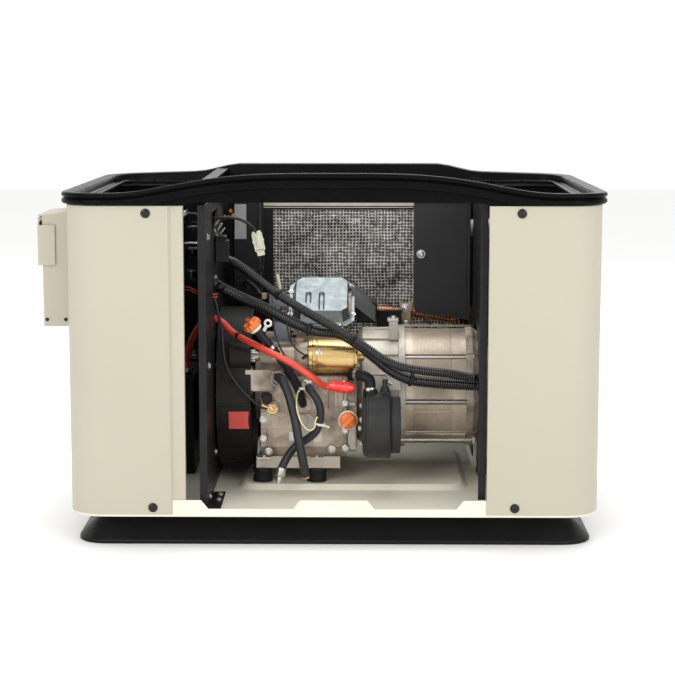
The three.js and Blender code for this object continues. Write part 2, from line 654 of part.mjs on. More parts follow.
// The filler neck rises to the left of the crankcase, and its dipstick pulls out along the neck.
const NECK_TOP = v3(-136, -167.6, 350);
const NECK_WAY = v3(-33, -10, 42).normalize();
const along = (distance) => NECK_TOP.clone().addScaledVector(NECK_WAY, distance);
function onNeck(geometry) {
  const turn = new THREE.Quaternion().setFromUnitVectors(v3(0, 0, 1), NECK_WAY);
  return geometry.applyQuaternion(turn).translate(NECK_TOP.x, NECK_TOP.y, NECK_TOP.z);
}

function oilFillTube() {
  const route = [
    along(0).toArray(), along(-30).toArray(), along(-60).toArray(), [-82, -151, 276],
    [-64, -144, 240], [-58, -141, 218], [-57, -136.5, 212], [-57, CASE_FRONT - 2 * GAP, 212],
  ];
  const stemHole = onNeck(bar("z", 4.2, -42, 2, 0, 0, 8));
  return shaped([cord(route, 7.5, 16, 8)], [stemHole]);
}

function dipstick() {
  const collar = onNeck(bar("z", 11, GAP, 8, 0, 0, 12));
  const cap = onNeck(bar("z", 16.5, 7.5, 19, 0, 0, 16));
  const grip = onNeck(block(-16, 16, -4, 4, 18, 25));
  const stem = onNeck(bar("z", 3.4, -38, 5, 0, 0, 8));
  return shaped([collar, cap, grip, stem]);
}

const CAP = { x: 23, z: 188 };
function oilFillCap() {
  const skirt = bar("y", 17, -158, -149.4, CAP.x, CAP.z, 20);
  const face = bar("y", 14.5, -163, -157, CAP.x, CAP.z, 16);
  const grip = block(-13, 13, -169, -162, -3.6, 3.6).rotateY(-Math.PI / 4).translate(CAP.x, 0, CAP.z);
  return shaped([skirt, face, grip]);
}

function engineRail(side) {
  const y = side * RAIL_Y;
  const rail = block(-141, 9, y - 12, y + 12, RAIL_LOW, CASE_LOW - GAP);
  const groove = block(-145, 13, y - 6, y + 6, RAIL_LOW - 1, RAIL_LOW + 9);
  const pads = MOUNT_X.map((x) =>
    block(Math.max(x - 19, -141), x + 19, y - 12, y + 12, RAIL_LOW, RAIL_LOW + 12),
  );
  return surface(solid(rail).subtract(solid(groove)).add(joined(pads)));
}

function isolator(x, y, low, high, radius = 18) {
  const tall = high - low;
  const profile = [[0, 0], [radius, 0], [radius - 1.5, tall / 2], [radius, tall], [0, tall]];
  const g = new THREE.LatheGeometry(profile.map(([r, h]) => v2(r, h)), 14);
  return g.rotateX(Math.PI / 2).translate(x, y, low);
}

// ---- alternator ----
function alternatorAdapter() {
  const left = CASE_RIGHT + GAP;
  const right = STATOR_LEFT - GAP;
  const shell = turned([
    [left, 0], [left, 96], [left + 10, 108], [right - 12, 108], [right - 12, 112], [right, 112], [right, 0],
  ], 0, SHAFT_Z, 32);
  const hollow = turned([
    [left + 8, 0], [left + 8, 80], [left + 22, 100], [right + 5, 100], [right + 5, 0],
  ], 0, SHAFT_Z, 24);
  const lug = block(96, 112, -60, -36, 318, 352);
  const shaft = bar("x", SHAFT_R + 0.6, left - 5, left + 20, 0, SHAFT_Z, 20);
  return shaped([shell, lug], [hollow, shaft]);
}

function stator() {
  const body = bar("x", STATOR_R, STATOR_LEFT, STATOR_RIGHT, 0, SHAFT_Z, 32);
  const bore = bar("x", 62, STATOR_LEFT - 5, STATOR_RIGHT + 5, 0, SHAFT_Z, 24);
  return shaped([body], [bore]);
}

function rearBell() {
  const left = STATOR_RIGHT + GAP;
  const shell = turned([
    [left, 0], [left, 108], [left + 12, 108], [left + 40, 84], [left + 62, 60], [left + 66, 0],
  ], 0, SHAFT_Z, 28);
  const hollow = turned([
    [left - 5, 0], [left - 5, 98], [left + 10, 98], [left + 36, 76], [left + 52, 50], [left + 52, 0],
  ], 0, SHAFT_Z, 24);
  const foot = block(262, 290, -34, 34, RAIL_LOW, 170);
  const shaft = bar("x", SHAFT_R + 0.6, left, left + 80, 0, SHAFT_Z, 20);
  return shaped([shell, foot], [hollow, shaft]);
}

function rotor() {
  const core = turned([
    [118, 0], [118, 40], [132, 58], [228, 58], [240, 40], [250, 40], [250, 0],
  ], 0, SHAFT_Z, 24);
  const bore = bar("x", SHAFT_R + GAP, 110, 260, 0, SHAFT_Z, 20);
  return shaped([core], [bore]);
}

// ---- air, fuel and exhaust ----
const airBox = () => shaped([block(38, 74, 20, 84, 337.5, 372), block(36, 76, 18, 86, 365, 376)]);

// A drum with a flange on its left and a smaller disc on its right, bolted to the front of the adapter.
function fuelRegulator() {
  const y = -163;
  const z = 182;
  const drum = turned([
    [48, 0], [48, 54], [55, 54], [55, 58], [97, 58], [99, 56], [99, 50], [115, 50], [115, 0],
  ], y, z, 28);
  const saddle = block(62, 94, -115, -95, 155, 200);
  const adapterClearance = bar("x", 112 + GAP, 30, 120, 0, SHAFT_Z, 48);
  return shaped([drum, saddle], [adapterClearance]);
}

function mufflerShield() {
  const face = plate("xz", [[146, 350], [250, 336], [250, 556], [146, 556]], 98, 100);
  const side = block(146, 148, 99, 186, 352, 556);
  const top = block(147, 250, 99, 186, 554, 556);
  return shaped([face, side, top]);
}

function muffler() {
  const x = 203;
  const y = 170;
  const profile = [[0, 364], [40, 364], [46, 370], [46, 538], [40, 544], [0, 544]];
  const can = new THREE.LatheGeometry(profile.map(([r, h]) => v2(r, h)), 24);
  can.rotateX(Math.PI / 2);
  can.translate(x, y, 0);
  const outlet = bar("x", 17, x + 20, 300, y, 500, 16);
  return shaped([can, outlet]);
}

function exhaustBellows() {
  const route = [
    [21, 100, 352], [40, 112, 350], [70, 130, 344], [100, 145, 336], [129, 150, 330], [160, 150, 329],
    [184, 150, 329.5], [199, 152, 334], [206, 155, 343], [207, 156, 353], [207, 156, 363],
  ];
  return cord(route, 11.5, 18, 10);
}

// ---- hoses and looms ----
const LOWER_LOOM = [
  [-261.4, -159, 446], [-252, -159, 446], [-240, -140, 440], [-225, -105, 430], [-208, -86, 418],
  [-170, -96, 400], [-124, -120, 383], [-79, -137, 362], [-35, -147, 346], [9, -152, 341],
  [40, -160, 324], [70, -165, 301], [100, -168, 278], [131, -168, 264], [184, -160, 256],
  [225, -150, 252], [245, -147, 250], [254, -147, 250],
];
const UPPER_LOOM = [
  [-261.4, -130, 484], [-252, -130, 484], [-240, -112, 482], [-222, -76, 474], [-204, -66, 466],
  [-179, -80, 459], [-143, -100, 436], [-107, -117, 411], [-62, -138, 386],
  [-18, -162, 364], [18, -178, 345], [53, -188, 324], [87, -195, 302], [117, -195, 290], [157, -190, 282],
  [201, -180, 276], [235, -169, 268], [246, -166, 267], [254, -166, 267],
];
const BATTERY_CABLE = [
  [-275, 4, 259.6], [-275, 4, 268], [-272, -8, 286], [-258, -46, 322], [-236, -92, 354], [-215, -113, 364],
  [-200, -120, 358], [-182, -130, 342], [-131, -167, 320], [-77, -192, 297],
  [-43, -192, 274], [-26, -176, 258], [-18, -165, 251], [-15, -163, 250], [-10, -163, 250],
];
const GROUND_CABLE = [
  [-275, 164, 259.6], [-275, 164, 270], [-270, 140, 300], [-250, 60, 366], [-232, -40, 400],
  [-222, -110, 408],
  [-212, -140, 402], [-204, -159, 376], [-198, -160, 349], [-196, -160, 314],
  [-188, -160, 279], [-167, -158, 246], [-146, -155, 224], [-130, -150, 211], [-119, -146, 208],
];
const DRAIN_HOSE = [
  [-101, CASE_FRONT - 2 * GAP, 259], [-101, -146, 259], [-99, -160, 266], [-92, -172, 262], [-84, -181, 248],
  [-75, -192, 222], [-69, -200, 200], [-62, -206, 160], [-55, -204, 124], [-51, -198, 98],
];
const BREATHER_HOSE = [
  [-45, CASE_FRONT - 2 * GAP, 247], [-45, -146, 247], [-46, -163, 247], [-40, -175, 242], [-31, -181, 230],
  [-25, -182, 212], [-26, -180, 194], [-33, -177, 173], [-48, -175, 159], [-68, -175, 146], [-84, -180, 126],
  [-93, -186, 108], [-96, -188, 96],
];
const CONNECTOR_LEAD = [
  [-257.4, -112, 549], [-250, -112, 549], [-232, -114, 545], [-213.4, -118, 542], [-206, -119, 542],
  [-196, -120, 543], [-180, -120, 543], [-163, -117, 538], [-150, -111, 529], [-142, -105, 519],
  [-138, -101, 510],
];

// A soft cap over the cable's eye and the stud that it is bolted to.
function cableBoot() {
  const sleeve = plate("xz", [
    [-9, 243], [2, 241], [30, 246], [34, 252], [32, 259], [24, 262], [0, 258], [-9, 256],
  ], -172, -154);
  const stud = bar("y", 5, -155, CASE_FRONT - GAP, 20, 252, 12);
  return shaped([sleeve, stud]);
}

// The lead ends in a loose connector, which hangs from it.
const CONNECTOR = [-137, -100, 502];
function connectorLead() {
  const shell = block(-9, 9, -7, 7, -19, 15);
  const collar = block(-6, 6, -5, 5, -28, -18);
  const connector = shaped([shell, collar]).rotateY(0.22).translate(...CONNECTOR);
  return shaped([cord(CONNECTOR_LEAD, 2.6, 10), connector]);
}

// ---- assembly ----
const generator = new THREE.Group();
function place(name, geometry, material, group = generator) {
  const mesh = new THREE.Mesh(geometry, material);
  mesh.name = name;
  group.add(mesh);
}

place("mounting_pad", mountingPad(), blackPlastic);
place("base_pan", basePan(), pan);
place("left_end_panel", leftEndPanel(), cream);
place("right_end_panel", rightEndPanel(), cream);
place("back_panel", backPanel(), cream);
place("top_rim", topRim(), blackPlastic);
place("left_divider", leftDivider(), blackSteel);
place("right_divider", rightDivider(), blackSteel);
screwPlaces.forEach(([x, z], i) => place("panel_screw_" + (i + 1), panelScrew(x, z), blackSteel));
place("back_insulation", backInsulation(), foil);

const sideBox = new THREE.Group();
generator.add(sideBox);
place("breaker_box", breakerBox(), cream, sideBox);
place("breaker_box_flap", breakerBoxFlap(), cream, sideBox);
place("flap_hinge_pin", flapHingePin(), steel, sideBox);
place("main_breaker", mainBreaker(), blackPlastic, sideBox);
place("breaker_toggle", breakerToggle(), blackPlastic, sideBox);

const controlBay = new THREE.Group();
generator.add(controlBay);
place("battery", battery(), blackPlastic, controlBay);
place("controller_box", controllerBox(), blackPlastic, controlBay);
place("mode_switch", modeSwitch(), redCable, controlBay);
place("ignition_box", ignitionBox(), blackPlastic, controlBay);

const engine = new THREE.Group();
generator.add(engine);
place("crankcase", crankcase(), castAluminium, engine);
place("cylinder", cylinder(), castAluminium, engine);
place("rocker_cover", rockerCover(), galvanised, engine);
place("blower_housing", blowerHousing(), blackSteel, engine);
place("flywheel", flywheel(), steel, engine);
place("crankshaft", crankshaft(), steel, engine);
place("piston", piston(), castAluminium, engine);
place("cam_gear", camGear(), steel, engine);
place("starter_motor", starterMotor(), zincYellow, engine);
place("starter_armature", starterArmature(), copper, engine);
place("starter_pinion", starterPinion(), steel, engine);
place("oil_fill_tube", oilFillTube(), rubber, engine);
place("dipstick", dipstick(), orange, engine);
place("oil_fill_cap", oilFillCap(), orange, engine);
place("engine_rail_front", engineRail(-1), steel, engine);
place("engine_rail_rear", engineRail(1), steel, engine);
MOUNT_X.forEach((x, i) => {
  place("isolator_front_" + (i + 1), isolator(x, -RAIL_Y, DECK_Z + GAP, RAIL_LOW - GAP), rubber, engine);
  place("isolator_rear_" + (i + 1), isolator(x, RAIL_Y, DECK_Z + GAP, RAIL_LOW - GAP), rubber, engine);
});

const alternator = new THREE.Group();
generator.add(alternator);
place("alternator_adapter", alternatorAdapter(), castAluminium, alternator);
place("stator", stator(), castAluminium, alternator);
place("rear_bell", rearBell(), castAluminium, alternator);
place("rotor", rotor(), steel, alternator);
place("isolator_alternator", isolator(276, 0, FLOOR_Z + GAP, RAIL_LOW - GAP), rubber, alternator);

const breathing = new THREE.Group();
generator.add(breathing);
place("air_box", airBox(), blackPlastic, breathing);
place("fuel_regulator", fuelRegulator(), blackPlastic, breathing);
place("muffler_shield", mufflerShield(), blackSteel, breathing);
place("muffler", muffler(), steel, breathing);
place("exhaust_bellows", exhaustBellows(), rust, breathing);

const lines = new THREE.Group();
generator.add(lines);
place("lower_loom", cord(LOWER_LOOM, 10, 26), rubber, lines);
place("upper_loom", cord(UPPER_LOOM, 8, 30), rubber, lines);
place("battery_cable", cord(BATTERY_CABLE, 6, 24), redCable, lines);
place("cable_boot", cableBoot(), redCable, lines);
place("ground_cable", cord(GROUND_CABLE, 2.8, 34), rubber, lines);
place("drain_hose", cord(DRAIN_HOSE, 8, 14), rubber, lines);
place("breather_hose", cord(BREATHER_HOSE, 7, 20), rubber, lines);
place("connector_lead", connectorLead(), whitePlastic, lines);

export default generator;
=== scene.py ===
import math

import bmesh
import bpy
from mathutils import Matrix, Vector, noise


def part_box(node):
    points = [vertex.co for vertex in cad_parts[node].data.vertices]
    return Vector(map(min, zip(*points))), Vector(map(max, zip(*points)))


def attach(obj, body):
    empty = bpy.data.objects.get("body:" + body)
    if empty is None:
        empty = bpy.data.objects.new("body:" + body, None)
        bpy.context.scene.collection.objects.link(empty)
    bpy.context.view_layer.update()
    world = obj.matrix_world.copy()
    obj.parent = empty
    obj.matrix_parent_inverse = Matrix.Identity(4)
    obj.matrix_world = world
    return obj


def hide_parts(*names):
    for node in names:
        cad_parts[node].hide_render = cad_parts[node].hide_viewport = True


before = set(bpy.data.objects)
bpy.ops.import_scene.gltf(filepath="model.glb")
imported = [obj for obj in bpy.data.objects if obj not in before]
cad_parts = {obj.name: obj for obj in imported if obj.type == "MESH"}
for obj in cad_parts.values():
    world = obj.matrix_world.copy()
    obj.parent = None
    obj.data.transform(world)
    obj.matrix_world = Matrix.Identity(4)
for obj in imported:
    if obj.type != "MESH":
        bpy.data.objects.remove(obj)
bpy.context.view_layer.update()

# The looks of a home standby generator with its roof lid and front access panel off. Metres, in the
# frame of the CAD: +X right, +Y to the back, +Z up, the origin in the middle of the pad's underside.
MM = 0.001
BODY_X, BODY_Y, CORNER = 450, 320, 58  # half the cream body's length and depth, and its corner radius, mm
SHAFT_Z = 225  # the height of the engine's shaft, mm
ROD_ANGLES = (38.5, 141.5, 187, 224.5, 315.5, 353)  # where the stator's tie rods stand round the shaft
X, Y, Z = Vector((1, 0, 0)), Vector((0, 1, 0)), Vector((0, 0, 1))


# ---- camera, light and floor ----
def make_camera():
    data = bpy.data.cameras.new("camera")
    data.lens = 101.8  # solved with the place below from the photograph's perspective
    camera = bpy.data.objects.new("camera", data)
    bpy.context.scene.collection.objects.link(camera)
    camera.location = (0.0468, -3.465, 0.8091)
    pitch_down, turn_left = 0.142, 0.0128
    camera.rotation_euler = (math.pi / 2 - pitch_down, 0, turn_left)
    bpy.context.scene.camera = camera


def softbox(name, place, aim, width, height, power, colour=(1, 1, 1)):
    data = bpy.data.lights.new(name, "AREA")
    data.shape = "RECTANGLE"
    data.size, data.size_y = width, height
    data.energy = power
    data.color = colour
    lamp = bpy.data.objects.new(name, data)
    bpy.context.scene.collection.objects.link(lamp)
    lamp.location = place
    lamp.rotation_euler = (Vector(aim) - Vector(place)).to_track_quat("-Z", "Y").to_euler()


def make_studio():
    middle = (0, 0, 0.3)
    softbox("key_light", (-1.7, -3.3, 1.9), middle, 1.6, 1.6, 40, (1, 0.995, 0.98))
    softbox("fill_light", (2.0, -3.0, 1.3), middle, 1.4, 1.8, 29, (1, 0.99, 0.97))
    softbox("top_light", (0.0, 0.3, 3.0), middle, 2.4, 1.8, 37)
    softbox("back_light", (0.6, 3.2, 2.2), middle, 2.2, 1.4, 20)
    world = bpy.data.worlds.new("studio")
    bpy.context.scene.world = world
    world.use_nodes = True
    world.node_tree.nodes["Background"].inputs["Color"].default_value = (1, 1, 1, 1)
    world.node_tree.nodes["Background"].inputs["Strength"].default_value = 1.0
    bpy.context.scene.view_settings.view_transform = "Standard"


make_camera()
make_studio()


# ---- shapes: each is (vertices, faces), in place ----
def mm(x, y, z):
    return Vector((x, y, z)) * MM


def block(x0, x1, y0, y1, z0, z1):
    """A box from its sides, in millimetres."""
    verts = [(x * MM, y * MM, z * MM) for z in (z0, z1) for y in (y0, y1) for x in (x0, x1)]
    faces = [(0, 2, 3, 1), (4, 5, 7, 6), (0, 1, 5, 4), (2, 6, 7, 3), (0, 4, 6, 2), (1, 3, 7, 5)]
    return verts, faces


def turned(place, angle, axis):
    return Matrix.Translation(place) @ Matrix.Rotation(angle, 4, axis)


def on_circle(x, radius, degrees, height=SHAFT_Z):
    """A point round an axis along X, in millimetres; degrees go from the back over the top."""
    a = math.radians(degrees)
    return mm(x, radius * math.cos(a), height + radius * math.sin(a))


def moved(shape, matrix):
    return [matrix @ Vector(v) for v in shape[0]], shape[1]


def all_moved(shapes, matrix):
    return [moved(shape, matrix) for shape in shapes]


def rings_to_shape(rings, closed=False):
    """Skins rings of points that follow each other, with a face over each end."""
    sides, count = len(rings[0]), len(rings)
    verts = [p for ring in rings for p in ring]
    faces = []
    for k in range(count if closed else count - 1):
        for i in range(sides):
            j = (i + 1) % sides
            after = ((k + 1) % count) * sides
            faces.append((k * sides + i, k * sides + j, after + j, after + i))
    if not closed:
        faces.append(tuple(reversed(range(sides))))
        faces.append(tuple((count - 1) * sides + i for i in range(sides)))
    return verts, faces


def lathe(profile, place, way, sides, flutes=0, depth=0.0):
    """Turns (distance along, radius) pairs, in millimetres, about the line through place along way."""
    turn = Vector(way).to_track_quat("Z", "Y").to_matrix()
    rings = []
    for reach, radius in profile:
        ring = []
        for i in range(sides):
            angle = 2 * math.pi * i / sides
            r = max(radius, 0.02) - depth * (0.5 - 0.5 * math.cos(flutes * angle)) * (radius > 2)
            ring.append(Vector(place) + turn @ mm(r * math.cos(angle), r * math.sin(angle), reach))
        rings.append(ring)
    return rings_to_shape(rings)


def ring_shape(shape):
    """Turns a lathe shape with an open middle into a closed ring, without the faces over its ends."""
    verts, faces = shape
    sides = len(faces[-1])
    count = len(verts) // sides
    last = (count - 1) * sides
    joint = [(last + i, last + (i + 1) % sides, (i + 1) % sides, i) for i in range(sides)]
    return verts, faces[:-2] + joint


def hoop(low, high, inner, outer, place, way, sides):
    """A flat ring between two distances along way, in millimetres."""
    return ring_shape(lathe([(low, inner), (low, outer), (high, outer), (high, inner)], place, way, sides))


def cone(low, high, base, top, place, way, sides):
    """A solid between two distances along way, with a radius at each, in millimetres."""
    return lathe([(low, 0), (low, base), (high, top), (high, 0)], place, way, sides)


def disc(low, high, radius, place, way, sides):
    return cone(low, high, radius, radius, place, way, sides)


def prism(outline, axis, low, high):
    """An outline of pairs, in millimetres, given thickness along an axis."""
    at = {"x": lambda a, b, c: mm(c, a, b), "y": lambda a, b, c: mm(a, c, b), "z": lambda a, b,
          c: mm(a, b, c)}
    return rings_to_shape([[at[axis](a, b, c) for a, b in outline] for c in (low, high)])


def route(points, step):
    """Evenly spaced points on the centripetal Catmull-Rom curve through the given ones."""
    p = [Vector(q) for q in points]
    p = [2 * p[0] - p[1], *p, 2 * p[-1] - p[-2]]
    dense = [p[1]]
    for a, b, c, d in zip(p, p[1:], p[2:], p[3:]):
        t = [0.0]
        for u, v in ((a, b), (b, c), (c, d)):
            t.append(t[-1] + math.sqrt(max((v - u).length, 1e-6)))
        for i in range(1, 25):
            s = t[1] + (t[2] - t[1]) * i / 24
            ab = a.lerp(b, (s - t[0]) / (t[1] - t[0]))
            bc = b.lerp(c, (s - t[1]) / (t[2] - t[1]))
            cd = c.lerp(d, (s - t[2]) / (t[3] - t[2]))
            abc = ab.lerp(bc, (s - t[0]) / (t[2] - t[0]))
            bcd = bc.lerp(cd, (s - t[1]) / (t[3] - t[1]))
            dense.append(abc.lerp(bcd, (s - t[1]) / (t[2] - t[1])))
    reach = [0.0]
    for u, v in zip(dense, dense[1:]):
        reach.append(reach[-1] + (v - u).length)
    count = max(2, round(reach[-1] / step))
    out, k = [], 0
    for i in range(count + 1):
        want = reach[-1] * i / count
        while k < len(reach) - 2 and reach[k + 1] < want:
            k += 1
        share = (want - reach[k]) / max(reach[k + 1] - reach[k], 1e-9)
        out.append(dense[k].lerp(dense[k + 1], share))
    return out


def sweep(points, radius, sides):
    """A tube along points; radius is a number of metres, or a function of the point's index."""
    last = len(points) - 1
    ways = [(points[min(i + 1, last)] - points[max(i - 1, 0)]).normalized() for i in range(last + 1)]
    side = ways[0].orthogonal().normalized()
    rings = []
    turns = [2 * math.pi * k / sides for k in range(sides)]
    for i, (point, way) in enumerate(zip(points, ways)):
        if i:
            side = ways[i - 1].rotation_difference(way) @ side
        other = way.cross(side)
        r = radius(i) if callable(radius) else radius
        rings.append([point + r * (math.cos(a) * side + math.sin(a) * other) for a in turns])
    return rings_to_shape(rings)


def bolt(place, way, size, head=None, washer=True):
    """A flanged hexagon head on its seat, size across the thread in millimetres."""
    tall = head or size * 0.7
    hexagon = [(0, 0), (0, size * 0.84), (tall - 0.4, size * 0.84), (tall, size * 0.74), (tall, 0)]
    parts = [lathe(hexagon, place, way, 6)]
    if washer:
        rim = size * 1.25
        parts.append(lathe([(-0.2, 0), (-0.2, rim), (1.0, rim), (1.6, size * 0.9), (1.6, 0)], place, way,
                           20))
    return parts


def pan_head(place, way, radius, tall):
    """A round screw head with a round recess."""
    dome = [(0, 0), (0, radius), (tall * 0.35, radius), (tall * 0.8, radius * 0.82), (tall, radius * 0.5),
            (tall - 0.1, radius * 0.45), (tall * 0.35, radius * 0.4), (tall * 0.35, 0)]
    return lathe(dome, place, way, 24)


# ---- pieces ----
def add_object(name, data, look, body):
    """A new object in one of the finishes, which rides on a body of the frame."""
    material, slot = FINISHES[look]
    obj = bpy.data.objects.new(name, data)
    bpy.context.scene.collection.objects.link(obj)
    data.materials.append(material)
    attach(obj, body)
    return obj


def bevel(obj, width, segments, angle=38):
    mod = obj.modifiers.new("edges", "BEVEL")
    mod.width = width * MM
    mod.segments = segments
    mod.limit_method = "ANGLE"
    mod.angle_limit = math.radians(angle)
    mod.harden_normals = True
    mod.miter_outer = "MITER_ARC"


def piece(name, shapes, look, edge, body="root", smooth=38, replaces=None, segments=2):
    """One piece of closed shapes, with rounded edges of the given width in millimetres."""
    verts, faces = [], []
    for more_verts, more_faces in shapes:
        start = len(verts)
        verts.extend(tuple(v) for v in more_verts)
        faces.extend(tuple(start + i for i in face) for face in more_faces)
    mesh = bpy.data.meshes.new(name)
    mesh.from_pydata(verts, [], faces)
    work = bmesh.new()
    work.from_mesh(mesh)
    bmesh.ops.remove_doubles(work, verts=work.verts, dist=1e-6)
    bmesh.ops.recalc_face_normals(work, faces=work.faces)
    work.to_mesh(mesh)
    work.free()
    mesh.polygons.foreach_set("use_smooth", [True] * len(mesh.polygons))
    mesh.set_sharp_from_angle(angle=math.radians(smooth))
    obj = add_object(name, mesh, look, body)
    if edge:
        bevel(obj, edge, segments)
    if replaces:
        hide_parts(replaces)
    return obj


def weld_group():
    """Joins the frame's split corners, so that bevels run along the edges, and smooths round faces."""
    group = bpy.data.node_groups.new("weld_and_smooth", "GeometryNodeTree")
    group.interface.new_socket("Geometry", in_out="INPUT", socket_type="NodeSocketGeometry")
    group.interface.new_socket("Geometry", in_out="OUTPUT", socket_type="NodeSocketGeometry")
    nodes, links = group.nodes, group.links
    chain = [nodes.new("NodeGroupInput")]
    weld = nodes.new("GeometryNodeMergeByDistance")
    weld.inputs["Distance"].default_value = 2e-5
    forget = nodes.new("GeometryNodeRemoveAttribute")
    forget.inputs["Name"].default_value = "custom_normal"
    faces = nodes.new("GeometryNodeSetShadeSmooth")
    faces.domain = "FACE"
    edges = nodes.new("GeometryNodeSetShadeSmooth")
    edges.domain = "EDGE"
    edges.inputs["Shade Smooth"].default_value = False
    angle = nodes.new("GeometryNodeInputMeshEdgeAngle")
    steep = nodes.new("FunctionNodeCompare")
    steep.inputs["B"].default_value = math.radians(34)
    links.new(angle.outputs["Unsigned Angle"], steep.inputs["A"])
    links.new(steep.outputs["Result"], edges.inputs["Selection"])
    chain += [weld, forget, faces, edges, nodes.new("NodeGroupOutput")]
    for before, after in zip(chain, chain[1:]):
        links.new(before.outputs["Geometry"], after.inputs["Geometry"])
    return group


WELD = weld_group()


def dress(name, look, edge, segments=2, angle=30):
    """Rounds the edges of a CAD node, whose shape stays, and gives it a detailed material."""
    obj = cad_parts[name]
    weld = obj.modifiers.new("weld", "NODES")
    weld.node_group = WELD
    if edge:
        flat = obj.modifiers.new("flat_faces", "DECIMATE")
        flat.decimate_type = "DISSOLVE"
        flat.angle_limit = math.radians(0.5)
        bevel(obj, edge, segments, angle)
    obj.data.materials.clear()
    obj.data.materials.append(FINISHES[look][0])


# ---- materials ----
def node(tree, kind, inputs=None, **settings):
    made = tree.nodes.new(kind)
    for key, value in settings.items():
        setattr(made, key, value)
    for key, value in (inputs or {}).items():
        if isinstance(value, bpy.types.NodeSocket):
            tree.links.new(value, made.inputs[key])
        else:
            made.inputs[key].default_value = value
    return made


def math_node(tree, operation, a, b=0.0, c=0.0):
    return node(tree, "ShaderNodeMath", {0: a, 1: b, 2: c}, operation=operation).outputs[0]


def noise_node(tree, scale, detail, distortion=0.0):
    place = node(tree, "ShaderNodeTexCoord").outputs["Object"]
    inputs = {"Vector": place, "Scale": scale, "Detail": detail, "Roughness": 0.55,
              "Distortion": distortion}
    return node(tree, "ShaderNodeTexNoise", inputs).outputs["Fac"]


def ranged(tree, value, low, high, start=0.3, end=0.7):
    inputs = {"Value": value, "From Min": start, "From Max": end, "To Min": low, "To Max": high}
    return node(tree, "ShaderNodeMapRange", inputs).outputs["Result"]


def mix_colour(tree, share, a, b):
    made = node(tree, "ShaderNodeMix", data_type="RGBA", blend_type="MIX")
    for socket, value in ((made.inputs[0], share), (made.inputs[6], a), (made.inputs[7], b)):
        if isinstance(value, bpy.types.NodeSocket):
            tree.links.new(value, socket)
        else:
            socket.default_value = value if isinstance(value, float) else (*value[:3], 1.0)
    return made.outputs[2]


def new_material(name):
    made = bpy.data.materials.new(name)
    made.use_nodes = True
    return made, made.node_tree, made.node_tree.nodes["Principled BSDF"]


def set_bump(tree, shader, height, depth):
    bump = node(tree, "ShaderNodeBump", {"Height": height, "Distance": depth * MM, "Strength": 1.0})
    tree.links.new(bump.outputs["Normal"], shader.inputs["Normal"])


def finish(slot, colour, roughness, other=None, metallic=0.0, blotch=14, spread=0.5, rough_spread=0.08,
           grain=900, depth=0.03, specular=0.5, coat=0.0, name=None):
    """Two tones in blotches, with a grain whose depth is in millimetres, and an uneven gloss."""
    made, tree, shader = new_material(name or slot)
    other = other or tuple(c * 0.8 for c in colour)
    patches = noise_node(tree, blotch, 6, distortion=0.4)
    speck = noise_node(tree, grain * 0.35, 3)
    share = ranged(tree, patches, 0.0, spread, 0.35, 0.68)
    share = math_node(tree, "ADD", share, ranged(tree, speck, -0.12 * spread, 0.12 * spread))
    tree.links.new(mix_colour(tree, share, colour, other), shader.inputs["Base Color"])
    uneven = noise_node(tree, blotch * 5, 5)
    gloss = ranged(tree, uneven, roughness - rough_spread, roughness + rough_spread)
    tree.links.new(gloss, shader.inputs["Roughness"])
    shader.inputs["Metallic"].default_value = metallic
    shader.inputs["Specular IOR Level"].default_value = specular
    shader.inputs["Coat Weight"].default_value = coat
    set_bump(tree, shader, noise_node(tree, grain, 3), depth)
    return made, slot


def galvanised(slot, colour, other, roughness):
    """Zinc plate: crystal spangles of slightly different tone and gloss."""
    made, tree, shader = new_material(slot)
    place = node(tree, "ShaderNodeTexCoord").outputs["Object"]
    cells = node(tree, "ShaderNodeTexVoronoi", {"Vector": place, "Scale": 110.0})
    spangle = node(tree, "ShaderNodeSeparateColor", {"Color": cells.outputs["Color"]}).outputs["Red"]
    smear = noise_node(tree, 18, 6, distortion=1.0)
    share = math_node(tree, "ADD", math_node(tree, "MULTIPLY", spangle, 0.45),
                      ranged(tree, smear, -0.1, 0.6))
    tree.links.new(mix_colour(tree, share, colour, other), shader.inputs["Base Color"])
    tree.links.new(math_node(tree, "MULTIPLY_ADD", spangle, 0.12, roughness), shader.inputs["Roughness"])
    shader.inputs["Metallic"].default_value = 0.85
    set_bump(tree, shader, noise_node(tree, 400, 4), 0.04)
    return made, slot


